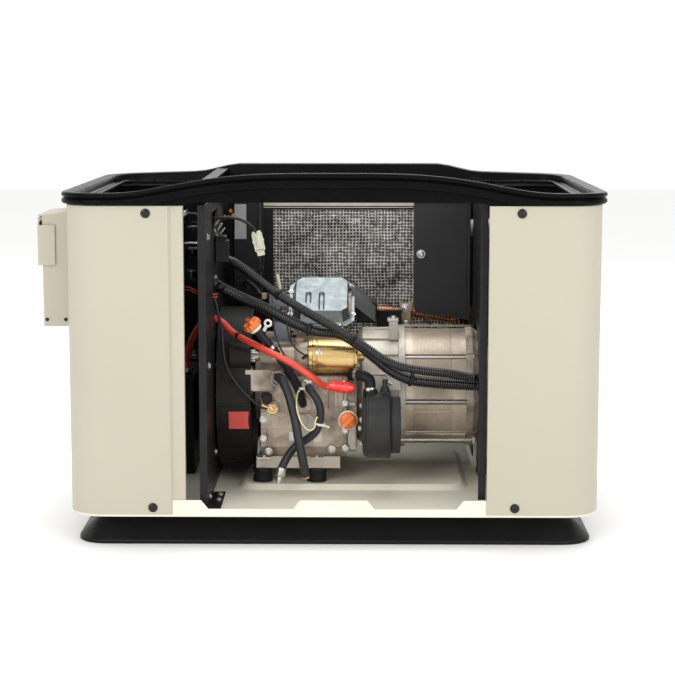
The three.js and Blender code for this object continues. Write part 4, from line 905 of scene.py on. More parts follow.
def make_dividers():
    dress("left_divider", "steel_black", 0.5)
    dress("right_divider", "steel_black", 0.5)
    left = -214
    screws = []
    for y, z in ((-122, 125), (-250, 72), (-90, 434), (-250, 300), (-250, 520), (160, 300), (160, 520)):
        screws += bolt(mm(left, y, z), X, 5)
    for y in (-240, -200):
        screws += bolt(mm(left + 14, y, 64.4), Z, 5)
    for y, z in ((-270, 130), (-270, 330), (-270, 530), (190, 130), (190, 330)):
        screws += bolt(mm(255, y, z), -X, 5)
    piece("divider_screws", screws, "zinc_bolt", edge=0.2)
    seal = [block(-217.6, -212.4, y0 - 1.4, y1 + 1.4, z0 - 1.4, z1 + 1.4) for y0, y1, z0, z1 in
            ((-160, -40, 336, 336), (-40, -40, 336, 556), (-160, -40, 556, 556), (-160, -160, 336, 556))]
    piece("window_edging", seal, "rubber", edge=0.8)
    piece("fan_hole_edging", [hoop(-2.6, 2.6, 98.6, 101.4, mm(-215, 0, SHAFT_Z), X, 64)], "rubber",
          edge=0.5)
    bracket = [block(-258, -216.5, -205, -190, 505, 507), block(-219, -216.4, -205, -190, 498, 520)]
    piece("control_bay_bracket", bracket, "zinc_bolt", edge=0.3)


def make_insulation():
    """A quilted blanket: crumpled foil with a scrim on it, its edges pressed down, and pins to hold it."""
    low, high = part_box("back_insulation")
    across, up = 110, 110
    rings = []
    for k in range(up + 1):
        z = low.z + (high.z - low.z) * k / up
        row = []
        for i in range(across + 1):
            x = low.x + (high.x - low.x) * i / across
            rise = min(1.0, min(i, across - i, k, up - k) / 5)
            crumple = noise.turbulence(Vector((x * 14, z * 14, 2.0)), 4, False) * 0.0034
            crease = abs(noise.noise(Vector((x * 30, z * 9, 7.0)))) * 0.0022
            row.append(Vector((x, low.y + 0.0012 + (1 - rise) * 0.004 + crumple + crease, z)))
        rings.append(row)
    verts = [p for row in rings for p in row]
    wide = across + 1
    faces = [(k * wide + i, k * wide + i + 1, (k + 1) * wide + i + 1, (k + 1) * wide + i)
             for k in range(up) for i in range(across)]
    count = len(verts)
    back = [Vector((p.x, high.y - 0.0003, p.z)) for p in verts]
    border = list(range(across)) + [k * wide + across for k in range(up)]
    border += [up * wide + i for i in range(across, 0, -1)] + [k * wide for k in range(up, 0, -1)]
    faces += [tuple(reversed([count + i for i in face])) for face in faces]
    faces += [(b, a, count + a, count + b) for a, b in zip(border, border[1:] + border[:1])]
    piece("foil_blanket", [(verts + back, faces)], "foil", edge=0, smooth=70, replaces="back_insulation")
    # A pale strip across the top of the blanket: a painted highlight for the pale line of light seen just
    # under the rim.
    painted_highlight = [block(-166, 148, 291.5, 295.8, 530, 531.6), block(-166, 149, 291.5, 296.2, 533.8, 540.4)]
    piece("blanket_painted_highlight", painted_highlight, "painted_highlight", edge=0.3)
    # Black strips along the top of the blanket and down its left side: painted shade for the dark bands on
    # the blanket just under the rim and down its left side.
    painted_shade = [block(-189, 249, 292.4, 297, 526.6, 545), block(-189, -128, 292, 297, 160, 527)]
    piece("blanket_painted_shade", painted_shade, "steel_black", edge=0.4)
    pins = [lathe([(0, 0), (0, 11), (0.5, 11), (1.0, 3), (2.0, 2), (2.0, 0)], mm(x, 299.5, z), -Y, 20)
            for x in (-150, 30, 120) for z in (190, 330, 500)]
    piece("blanket_pins", pins, "zinc_bolt", edge=0)


# ---- side box ----
def make_side_box():
    for node_name in ("breaker_box", "breaker_box_flap"):
        dress(node_name, "cream", 0.8, 3)
    dress("flap_hinge_pin", "machined", 0)
    dress("main_breaker", "electrical", 0.8)
    dress("breaker_toggle", "electrical", 0.5)
    low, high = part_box("breaker_box")
    spots = [Vector((x, low.y, low.z + 0.012)) for x in (low.x + 0.014, high.x - 0.012)]
    screws = [pan_head(spot, -Y, 3.2, 2) for spot in spots]
    piece("side_box_screws", screws, "screw_black", edge=0.15)
    low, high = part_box("main_breaker")
    terminals = [pan_head(Vector((low.x, y, z)), -X, 3.4, 2.4) for z in (low.z + 0.006, high.z - 0.006)
                 for y in (low.y + 0.014, high.y - 0.014)]
    piece("breaker_terminals", terminals, "brass", edge=0.15)
    scale = [block(-495.2, -489.6, -141.5, -138.2, z, z + 1.2) for z in (496, 501, 506, 511, 516)]
    piece("breaker_scale", scale, "label", edge=0.1)
    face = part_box("breaker_box_flap")[0]
    pull = [block(face.x / MM - 0.6, face.x / MM + 1.2, -168, -132, 471, 476)]
    piece("flap_pull", pull, "cream", body="flap", edge=0.5)


# ---- control bay ----
def make_control_bay():
    dress("battery", "battery", 1.6, 3)
    dress("controller_box", "electrical", 1.2, 3)
    dress("mode_switch", "red_button", 0.8, 3)
    dress("ignition_box", "electrical", 1.2, 3)
    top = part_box("battery")[1].z
    for i, y in enumerate((0.004, 0.164)):
        post = Vector((-0.275, y, top))
        clamp = [hoop(-9, -1.5, 8.3, 12, post, Z, 28),
                 block(-294, -284, y / MM - 5, y / MM + 5, top / MM - 9, top / MM - 2)]
        clamp += bolt(Vector((-0.289, y - 0.005, top - 0.0055)), -Y, 4.5, washer=False)
        piece("battery_clamp_" + str(i + 1), clamp, "zinc_bolt", edge=0.3)
        r, look = (6.2, "red_cable") if i == 0 else (3.0, "black_cable")
        cap = [(-0.5, 0), (-0.5, 9), (2, 9), (6, r + 2), (9, r + 1.2), (9, 0)]
        piece("battery_cap_" + str(i + 1), [lathe(cap, post, Z, 24)], look, edge=0.4)
    cap = [(-1, 0), (-1, 8), (2.4, 8), (3, 7), (3, 0)]
    caps = [lathe(cap, mm(-360, y, 255), Z, 24) for y in range(10, 161, 30)]
    caps.append(block(-372, -348, -8, 176, 254.6, 256.2))
    piece("battery_cell_caps", caps, "battery", edge=0.4)
    hold = [block(-440, -256, 80, 88, 259.6, 261.6), block(-441, -439, 80, 88, 66, 261),
            block(-257.6, -255.6, 80, 88, 66, 261)]
    piece("battery_strap", hold, "steel_black", edge=0.4)
    top = 552
    window = [block(-410, -350, -180, -150, top - 0.5, top + 0.8)]
    piece("controller_window", window, "window", edge=0.4)
    key = [(0, 0), (0, 5), (1.6, 5), (2.4, 4), (2.4, 0)]
    keys = [lathe(key, mm(x, -124, top), Z, 24) for x in (-405, -385, -365, -345)]
    piece("controller_keys", keys, "label", edge=0.3)
    fuse = [block(-300, -276, -190, -176, top - 0.5, top + 4),
            block(-296, -280, -187, -179, top + 3.5, top + 7)]
    piece("fuse_holder", fuse, "electrical", edge=0.8)
    screws = [pan_head(mm(x, y, top), Z, 3.4, 2.2) for x in (-433, -265) for y in (-197, -103)]
    piece("controller_screws", screws, "zinc_bolt", edge=0.15)
    ribs = [block(-262, -260.4, y - 1.5, y + 1.5, 436, 540) for y in (-190, -178, -166)]
    glands = [lathe([(-1, 0), (-1, r + 5), (2, r + 5), (3.5, r + 2), (3.5, 0)], mm(-262, y, z), X, 24)
              for y, z, r in ((-159, 446, 10), (-130, 484, 8), (-112, 549, 2.6))]
    piece("controller_glands", glands + ribs, "electrical", edge=0.5)
    low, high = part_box("ignition_box")
    x0, x1 = low.x / MM, high.x / MM
    label = [block(x0 + 6, x0 + 28, 139.2, 140.2, 482, 548)]
    piece("ignition_label", label, "label", edge=0.15)
    ribs = [block(x0 + 5, x1 - 9, 138.4, 140.4, z, z + 2.4) for z in (376, 388, 400, 412, 424)]
    ribs += [block(x1 - 9, x1 - 6.5, 137.8, 140.4, 366, 556)]
    piece("ignition_ribs", ribs, "electrical", edge=0.5)
    posts = [disc(0, 12, 3.4, mm(x, y, z), Y, 14)
             for x, y, z in ((-201, 128, 536), (-196, 130, 528), (-204, 127, 524))]
    piece("ignition_terminals", posts, "copper", edge=0.3)
    spades = [moved(block(-1, 1, -5, 5, -7, 7), turned(mm(x, -70, z), 0.6, "Y"))
              for x, z in ((-211, 531), (-206.5, 523), (-202, 515))]
    piece("relay_spades", spades, "zinc_bolt", edge=0.2)
    relay = [block(-212.8, -190, -96, -64, 462, 500), block(-212.8, -194, -92, -68, 499, 508)]
    piece("relay", relay, "electrical", edge=1)


# ---- engine ----
def make_engine():
    dress("crankcase", "cast", 1.6, 3)
    dress("cylinder", "cast", 0.6)
    dress("blower_housing", "fan_cover", 1.5, 3)
    for node_name in ("flywheel", "crankshaft", "cam_gear", "starter_pinion"):
        dress(node_name, "machined", 0.3)
    dress("piston", "cast_pale", 0.5)
    dress("starter_armature", "copper", 0.4)
    make_case_front()
    make_rocker_cover()
    make_head_details()
    make_fan_cover_details()
    make_starter()
    make_filler()
    make_feet()


def make_case_front():
    """Ribs, seams, bosses, bolts and senders on the side of the crankcase that faces the service opening."""
    y = -130
    ribs = [block(x, x + 2.6, y - 4.5, y + 2, 206, 262) for x in (-12, -4, 4, 12)]
    ribs += [block(x, x + 2.2, y - 2, y + 4, 226, 262) for x in (20, 26, 32)]
    ribs += [block(-132, -62, y - 1.6, y + 1, 196, 199), block(-132, -62, y - 1.6, y + 1, 166, 168.6)]
    ribs += [block(x, x + 3, y - 3, y + 2, 122, 166) for x in (-122, -64)]
    ribs += [block(-96, -93, y - 2.2, y + 2, 199, 258), block(-66, -62.4, y - 2.2, y + 2, 135, 262)]
    seam = [block(15.4, 20.4, y - 3.4, y + 4, 128, 262), block(-62, -20, y - 2.6, y + 1, 136, 168)]
    seam += [cone(0, 6, 7.5, 7, mm(18, y + 2, z), -Y, 20) for z in (134, 166, 214, 250)]
    seam += [cone(0, 5, 9, 8, mm(x, y + 2, z), -Y, 20) for x, z in ((-118, 128), (-70, 128), (-6, 132))]
    seam += [cone(0, 12.5, 17, 14.8, mm(x, y + 1, z), -Y, 24) for x, z in ((-101, 259), (-45, 247))]
    seam += [cone(-3, 5, 17.5, 15.6, mm(-57, y, 212), -Y, 24)]
    piece("crankcase_ribs", ribs + seam, "cast", edge=1.0, segments=3)
    pale = [block(-12, 36, -106, y + 24, 262.2, 265), block(-66, -50, y - 6, y, 172, 190),
            block(22, 37, -128, -112, 130, 180)]
    pale += [block(16, 36, y - 1.5, y + 2, 210, 216)]
    piece("case_machined_faces", pale, "cast_pale", edge=0.8)
    spots = [(18, -4, z, 5) for z in (134, 166, 214, 250)]
    spots += [(x, -3, z, 5) for x, z in ((-118, 128), (-70, 128), (-6, 132))]
    spots += [(x, 0, z, 5.5) for x, z in ((-128, 184), (-128, 150), (-30, 152))]
    bolts = [shape for x, out, z, size in spots for shape in bolt(mm(x, y + out, z), -Y, size)]
    piece("crankcase_bolts", bolts, "zinc_bolt", edge=0.25)
    plate = [(-159, 275), (-110, 275), (-110, 237), (-147, 237), (-159, 249)]
    piece("case_side_plate", [prism(plate, "y", -138, -134.5)], "cast", edge=0.6)
    tags = [block(-82, -73, y - 1, y, 147, 163), block(-38, -24, y - 3.4, y - 2.4, 145, 161)]
    piece("plain_tags", tags, "pale_tag", edge=0.2)
    ports = [lathe([(10, 0), (10, 9), (18, 8.2), (19, 9.3), (21, 9.3), (23, 7.4), (23, 0)],
                   mm(-101, y + 2, 259), -Y, 24),
             lathe([(10, 0), (10, 8), (17, 7.4), (18, 8.4), (20, 8.4), (22, 6.6), (22, 0)],
                   mm(-45, y + 2, 247), -Y, 24)]
    piece("hose_spigots", ports, "zinc_bolt", edge=0.3)
    eye(mm(-111, -148.6, 207), -Y, 0.0085, "brass", "ground_ring", out=(-0.92, 0, 0.38))
    nut = bolt(mm(-111, -150.2, 207), -Y, 6.5, head=4.5, washer=False)
    nut.append(disc(-6, 0.6, 10.5, mm(-111, -147, 207), -Y, 6))
    piece("ground_nut", nut, "brass", edge=0.3)
    boss = [cone(0, 9, 14, 11.5, mm(-111, y + 1, 207), -Y, 24), block(-124, -100, y - 6, y, 196, 207)]
    piece("ground_boss", boss, "cast_pale", edge=1)
    sender = [(0, 0), (0, 9), (3, 9), (3.5, 7.5), (9, 7.5), (9.5, 9.6), (17, 9.6), (19, 8), (19, 0)]
    knob = [lathe(sender, mm(-120, y + 1, 225), -Y, 20, flutes=10, depth=0.8),
            block(-131, -117, y - 14, y - 2, 226, 234)]
    piece("oil_pressure_sender", knob, "electrical", edge=0.4)
    wire_eye = [disc(0, 3, 4.5, mm(-62, y, 242.5), -Y, 16)]
    wire_eye += [block(-64, -46, -163, -160.6, 244, 248), block(-64, -61.6, -163, -130, 240, 248)]
    piece("wire_bracket", wire_eye, "zinc_bolt", edge=0.25)
    spade = [moved(block(-6, 6, -2.2, 2.2, -2.6, 2.6), turned(mm(-53, -154.5, 301.5), -0.6, "Y"))]
    piece("starter_spade", spade, "electrical", edge=0.5)
    pump = [lathe([(0, 0), (0, 13), (3, 13), (3, 10), (10, 10), (10, 0)], mm(-60, y + 1, 186), -Y, 24),
            cone(0, 3.4, 22, 20.5, mm(-54, y, 176), -Y, 40)]
    piece("pump_cover", pump, "cast_pale", edge=0.8)
    # the red boot with its ribs, which the red cable ends in
    boot = [(-10, 0), (-10, 6.6), (-4, 8.6), (0, 9.8), (2, 8.8), (5, 10.2), (8, 9), (11, 10.4), (14, 9.2),
            (17, 10.4), (20, 9.2), (23, 10.2), (26, 8.8), (30, 8), (34, 5.5), (36, 0)]
    squeeze = turned(mm(0, -163, 250.5), 0.12, "Y") @ Matrix.Diagonal((1, 0.86, 1.05, 1))
    shape = moved(lathe(boot, (0, 0, 0), X, 26), squeeze)
    stud = disc(0, 20, 5, mm(20, y - 0.3, 252), -Y, 16)
    piece("feed_boot", [shape, stud], "red_boot", edge=0.3, smooth=70, replaces="cable_boot")


def make_rocker_cover():
    """The bolts, bracket and gasket of the pressed cover over the valve gear, which tilts to the front."""
    dress("rocker_cover", "galvanised", 1.4, 3, 20)
    slope = math.atan2(68, 116)
    lift = 2.4
    place = turned(mm(-26, -8 - lift * math.sin(slope), 375 + lift * math.cos(slope)), slope, "X")
    bolts = []
    for x, y in ((-56.5, -34), (-56.5, 34), (56.5, -34), (56.5, 34), (-30, 63.5), (30, 63.5), (30, -63.5)):
        bolts += all_moved(bolt(mm(x, y, 2.5), Z, 4.6), place)
    piece("cover_bolts", bolts, "zinc_bolt", edge=0.25)
    strip = [block(-50, 40, -70, -62, -2.2, 0), block(-50, 40, -71.5, -69.5, -14, 0)]
    strip += [block(x - 5, x + 5, -75, -70, -11, -3) for x in (-38, -12, 14)]
    piece("cover_front_bracket", all_moved(strip, place), "zinc_bolt", edge=0.6)
    bolts = []
    for x in (-38, -12, 14):
        bolts += all_moved(bolt(mm(x, -75, -7), -Y, 5), place)
    piece("bracket_bolts", bolts, "zinc_bolt", edge=0.25)
    outline = [(-44, -66), (44, -66), (59, -51), (59, 51), (44, 66), (-44, 66), (-59, 51), (-59, -51)]
    piece("cover_gasket", [moved(prism(outline, "z", -1.9, -0.2), place)], "rubber", edge=0.4)


def make_head_details():
    """Slanted cooling fins beside the head, a spark plug with its boot, and the baffle over the barrel."""
    fins = []
    for i in range(6):
        shift = i * 5.2
        line = [(24, 404 - shift), (30, 405.5 - shift), (73, 368 - shift * 0.9), (71, 366 - shift * 0.9)]
        fins.append(prism(line, "y", 10 - i, 84 - 2 * i))
    fins.append(prism([(26, 396), (30, 398), (66, 372), (60, 366), (26, 380)], "y", 26, 70))
    piece("head_fins", fins, "fin_metal", edge=0.5)
    face = [block(22.4, 28, -50, 56, 345, 398), block(18, 24, -54, 50, 330, 336)]
    piece("head_side", face, "cast", edge=1.2)
    seat, way = mm(-88, 0, 372), Vector((-0.8, -0.1, 0.35))
    plug = [(-8, 0), (-8, 8), (4, 8), (4, 10), (11, 10), (11, 6), (26, 5.4), (26, 0)]
    piece("spark_plug", [lathe(plug, seat, way, 20)], "tan", edge=0.4)
    boot = [(20, 0), (20, 8.4), (34, 8.8), (44, 7), (44, 0)]
    piece("spark_plug_boot", [lathe(boot, seat, way, 20)], "rubber", edge=0.8)
    tip = seat + way.normalized() * 0.043
    lead = [tip, tip + Vector((-0.012, -0.001, 0.006)), Vector((-0.146, 0.02, 0.4)),
            Vector((-0.166, 0.06, 0.41)), Vector((-0.174, 0.11, 0.4)), Vector((-0.174, 0.128, 0.395)),
            Vector((-0.174, 0.1385, 0.394))]
    smooth_cord("spark_plug_lead", lead, 0.0068, "black_cable")
    shroud = [block(-83.5, -81.5, -56, 54, 318, 372), block(-110, -82, -56, -54, 318, 350),
              block(-112, -110, -56, 20, 318, 392)]
    piece("barrel_baffle", shroud, "blue_steel", edge=0.6)
    plate = [block(-121.8, -92.8, -22, -20.5, 374, 400), block(-121.8, -120.3, -22, 6, 374, 400)]
    piece("head_baffle", plate, "blue_steel", edge=0.4)
    piece("coil_plug", [block(-135, -126, -14, -8, 386, 397)], "tan", edge=0.8)
    sleeve = [(0, 0), (0, 3.4), (26, 3.4), (27, 2.4), (27, 0)]
    piece("ceramic_sleeve", [lathe(sleeve, mm(-102.7, 2, 403), (-0.19, 0, 1), 16)], "nylon", edge=0.3)


def make_fan_cover_details():
    screws = [pan_head(on_circle(-211, 132, turn), -X, 5, 3) for turn in range(20, 360, 45)]
    piece("fan_cover_screws", screws, "zinc_bolt", edge=0.2)
    hub = mm(-212.3, 0, SHAFT_Z)
    guard = [hoop(-1, 1, radius - 1, radius + 1, hub, X, 48) for radius in (18, 32, 46, 60, 74, 84)]
    guard += [moved(block(-1, 1, 17, 86, -1.2, 1.2), turned(hub, math.radians(t), "X"))
              for t in range(0, 360, 60)]
    piece("fan_guard", guard, "machined", edge=0.2)
    label = moved(block(-18, 18, -146.2, -145.0, -17, 17),
                  turned(mm(-170.5, 0, SHAFT_Z), math.radians(15.8), "X"))
    piece("fan_cover_label", [label], "red_label", edge=0.2)
    # the rim leaves the starter's pinion free, so it starts below it and ends above it
    lip = [(-154, 141), (-154, 146.4), (-152, 147), (-150, 146.4), (-150, 141)]
    around = [[on_circle(x, r, t) for x, r in lip] for t in range(168, 491, 4)]
    piece("fan_cover_rim", [rings_to_shape(around)], "fan_cover", edge=0.4)
    ribs = [moved(block(-22, 26, -146.6, -144, -1.2, 1.2),
                  turned(mm(-182, 0, SHAFT_Z), math.radians(t - 180), "X")) for t in range(168, 260, 18)]
    piece("fan_cover_ribs", ribs, "fan_cover", edge=0.6)


def make_starter():
    """The starter: a zinc-plated can between two end caps, with its nose, stud and through bolts."""
    place = mm(0, -118, 297)
    can = [(-48, 0), (-48, 27.5), (-46.5, 29.4), (-40, 29.8), (-39.4, 31), (-34, 31), (-33.4, 29.6),
           (-31.8, 29.6), (-31.2, 30.8), (33, 30.8), (33.6, 29.4), (35, 29.4), (35.6, 30.6), (39, 30),
           (40.6, 27.6), (41, 24), (41, 0)]
    ridge = [moved(block(-47, 40, -3, 3, 29.2, 31.4), turned(place, math.radians(t), "X"))
             for t in (58, -122)]
    piece("starter_can", [lathe(can, place, X, 48), *ridge], "gold", edge=0.35, smooth=50,
          replaces="starter_motor")
    nub = [(40, 0), (40, 11), (43, 10.6), (44, 9), (50, 9), (51.4, 7.6), (51.4, 0)]
    piece("starter_end_boss", [lathe(nub, place, X, 24)], "brass", edge=0.3)
    nose = [(-134, 0), (-134, 9), (-133.6, 13), (-128, 14.6), (-100, 15.6), (-72, 17), (-70, 20), (-62, 24),
            (-48, 26), (-47, 0)]
    lug = block(-70, -56, -106, -84, 284, 325)
    piece("starter_nose", [lathe(nose, place, X, 32), lug], "cast", edge=0.8)
    rods = []
    for t in (35, 215):
        a = math.radians(t)
        at = place + mm(0, 24 * math.cos(a), 24 * math.sin(a))
        rods += bolt(at + mm(40.4, 0, 0), X, 4.5, head=4)
    rods += bolt(mm(-28, -146, 309), (0, -0.9, 0.42), 5)
    piece("starter_bolts", rods, "zinc_bolt", edge=0.2)


def make_filler():
    """The filler neck with its dipstick, and the lower filler cap, both with orange moulded handles."""
    dress("oil_fill_tube", "filler", 0.3)
    top, way = mm(-136, -167.6, 350), Vector((-33, -10, 42)).normalized()
    collar = [(0.4, 0), (0.4, 9.6), (2, 12), (6.4, 12), (7.4, 10.4), (7.4, 0)]
    piece("dipstick_collar", [lathe(collar, top, way, 28)], "nylon", body="dipstick", edge=0.4)
    cap = [(7.4, 0), (7.4, 14), (8.6, 16.4), (16.4, 16.4), (18.6, 14.4), (19.4, 10), (19.4, 0)]
    upright = Matrix.Translation(top) @ way.to_track_quat("Z", "Y").to_matrix().to_4x4()
    grip = moved(block(-15.5, 15.5, -3.6, 3.6, 17, 24.6), upright)
    cross = moved(block(-3.2, 3.2, -13, 13, 17, 22.4), upright)
    piece("dipstick_handle", [lathe(cap, top, way, 72, flutes=12, depth=1.5), grip, cross], "orange",
                   body="dipstick", edge=0.7, segments=3, replaces="dipstick")
    stem = [(-37.6, 0), (-37.6, 3.2), (2, 3.2), (2, 0)]
    piece("dipstick_stem", [lathe(stem, top, way, 12)], "machined", body="dipstick", edge=0.2)
    eyelet = [hoop(-1, 1, 3.4, 7.4, mm(-117, -163, 362), (0.2, -1, 0.3), 28),
              moved(block(-3, 3, -1, 1, -16, -6.5), turned(mm(-117, -163, 362), 0.5, "Y"))]
    piece("neck_bracket", eyelet, "zinc_bolt", edge=0.3)
    piece("neck_clip", [hoop(-3, 3, 7.4, 9, top - way * 0.04, way, 28)], "zinc_bolt", edge=0.3)
    tie = [hoop(-2, 2, 8, 10, top - way * 0.058, way, 24)]
    piece("neck_tie", tie, "nylon", edge=0.3)

    centre = mm(23, -149, 188)
    seal = [(-0.2, 0), (-0.2, 16.4), (1.8, 17.4), (3.4, 17.4), (4.2, 16), (4.2, 0)]
    piece("fill_cap_flange", [lathe(seal, centre, -Y, 48)], "nylon", body="fill_cap", edge=0.4)
    face = [(4, 0), (4, 15.4), (9.6, 15.4), (11.4, 13.4), (12.4, 9), (12.4, 0)]
    bar = moved(block(-13.4, 13.4, -169, -160, -3.6, 3.6), turned(mm(23, 0, 188), -math.pi / 4, "Y"))
    piece("fill_cap_handle", [lathe(face, centre, -Y, 80, flutes=10, depth=1.2), bar], "orange",
          body="fill_cap", edge=0.8, segments=3, replaces="oil_fill_cap")


def make_feet():
    """Foot rails with their bolts, on rubber isolators bonded between steel washers."""
    for node_name in ("engine_rail_front", "engine_rail_rear"):
        dress(node_name, "rail", 1.2, 3)
    for place in ("front_1", "front_2", "rear_1", "rear_2", "alternator"):
        node_name = "isolator_" + place
        low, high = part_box(node_name)
        tall = (high.z - low.z) / MM
        foot = Vector(((low.x + high.x) / 2, (low.y + high.y) / 2, low.z))
        rubber = [(1.6, 0), (1.6, 17.2), (3.4, 17.9), (tall * 0.3, 16.9), (tall * 0.5, 16.3),
                  (tall * 0.7, 16.9), (tall - 3.4, 17.9), (tall - 1.6, 17.2), (tall - 1.6, 0)]
        piece(node_name + "_rubber", [lathe(rubber, foot, Z, 40)], "rubber", edge=0.3, smooth=50,
              replaces=node_name)
        plates = [disc(start, start + 1.8, 17.6, foot, Z, 40) for start in (0, tall - 1.8)]
        piece(node_name + "_plates", plates, "screw_black", edge=0.2)
    nuts = []
    for x in (-126.5, -33):
        nuts += bolt(mm(x, 115, 117.8), Z, 7)
        nuts += bolt(mm(x, -138, 118.6), Z, 5)
        nuts.append(block(x - 11, x + 11, -143, -128, 116.4, 118.8))
    piece("rail_nuts", nuts, "zinc_bolt", edge=0.25)


# ---- alternator ----
def stator_outline(radius):
    """A round section with a channel for each tie rod."""
    outline = []
    channels = [math.radians(a) for a in ROD_ANGLES]
    steps, half_channel = 180, 0.036
    for i in range(steps):
        a = 2 * math.pi * i / steps
        inside = any(abs((a - c + math.pi) % (2 * math.pi) - math.pi) < half_channel for c in channels)
        r = radius - 6 if inside else radius
        outline.append((r * math.cos(a), r * math.sin(a)))
    return outline


def make_alternator():
    dress("alternator_adapter", "cast_pale", 1.4, 3)
    dress("rear_bell", "cast", 1.4, 3)
    dress("rotor", "laminations", 0.4)
    low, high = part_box("stator")
    start, end = low.x / MM, high.x / MM
    radius = (high.z - low.z) / 2 / MM
    shaft = (low.z + high.z) / 2 / MM
    outline = stator_outline(radius - 0.3)
    levels = [(start, 1.0), (start + 12.7, 1.0), (start + 13, 0.985), (start + 14.6, 0.985),
              (start + 14.9, 0.997)]
    x = start + 14.9
    while x < end - 29:
        levels += [(x + 0.4, 0.997), (x + 1.5, 0.997), (x + 1.8, 0.9925), (x + 2.2, 0.9925)]
        x += 2.4
    levels += [(end - 27.4, 0.997), (end - 27, 0.985), (end - 25.4, 0.985), (end - 25, 1.0), (end, 1.0)]
    rings = [[mm(at, a * scale, shaft + b * scale) for a, b in outline] for at, scale in levels]
    piece("stator_pack", [rings_to_shape(rings)], "laminations", edge=0, smooth=30, replaces="stator")
    rods, nuts = [], []
    for angle in ROD_ANGLES:
        rods.append(disc(start - 4, end + 8, 2.6, on_circle(0, radius - 3.2, angle, shaft), X, 14))
        nuts += bolt(on_circle(end + 12.6, radius - 3.2, angle, shaft), X, 5)
    piece("tie_rods", rods, "machined", edge=0.2)
    piece("tie_rod_nuts", nuts, "zinc_bolt", edge=0.2)
    low_rod = [disc(113, 252, 2.4, mm(0, -93, 141.5), X, 16)]
    low_rod += [block(112, 116, -97, -80, 134, 148), block(246, 250, -97, -70, 134, 148)]
    piece("lower_stay", low_rod, "zinc_bolt", edge=0.3)
    bosses = [block(90, 116.6, -126, -100, 236, 266), block(93, 113, -62, -34, 351, 356)]
    bosses += [cone(0, 14, 9, 8, mm(98, -108, 250), -Y, 24)]
    for t in range(100, 260, 20):
        around = turned(mm(0, 0, shaft), math.radians(t - 180), "X")
        bosses.append(moved(block(48, 112, -111.6, -104, -2, 2), around))
    piece("adapter_bosses", bosses, "cast_pale", edge=1.2, segments=3)
    bolts = bolt(mm(98, -122, 250), -Y, 6) + bolt(mm(104, -48, 356), Z, 6)
    for t in (120, 150, 210, 240):
        bolts += bolt(on_circle(112.4, 110, t, shaft), X, 5, washer=False)
    piece("adapter_bolts", bolts, "zinc_bolt", edge=0.25)
    bands = [prism([(-96, 262), (-99, 232), (-106, 232), (-104, 263)], "x", 126, 137)]
    bands.append(block(140, 205, -106.6, -104.8, 194.2, 195.6))
    piece("stator_bands", bands, "laminations", edge=0.3)
    rib = prism([(0, 104), (0, 109), (12, 109), (40, 85.5), (40, 80)], "y", -1.6, 1.6)
    out = Matrix.Translation(mm(end + 1, 0, 0))
    fins = [moved(rib, turned(mm(0, 0, shaft), math.radians(t), "X") @ out) for t in range(0, 360, 24)]
    piece("bell_ribs", fins, "cast", edge=0.8)
    brush = [block(262, 296, -30, 30, 286, 306), block(270, 288, -22, 22, 305, 312)]
    piece("brush_cover", brush, "electrical", edge=1.5, segments=3)


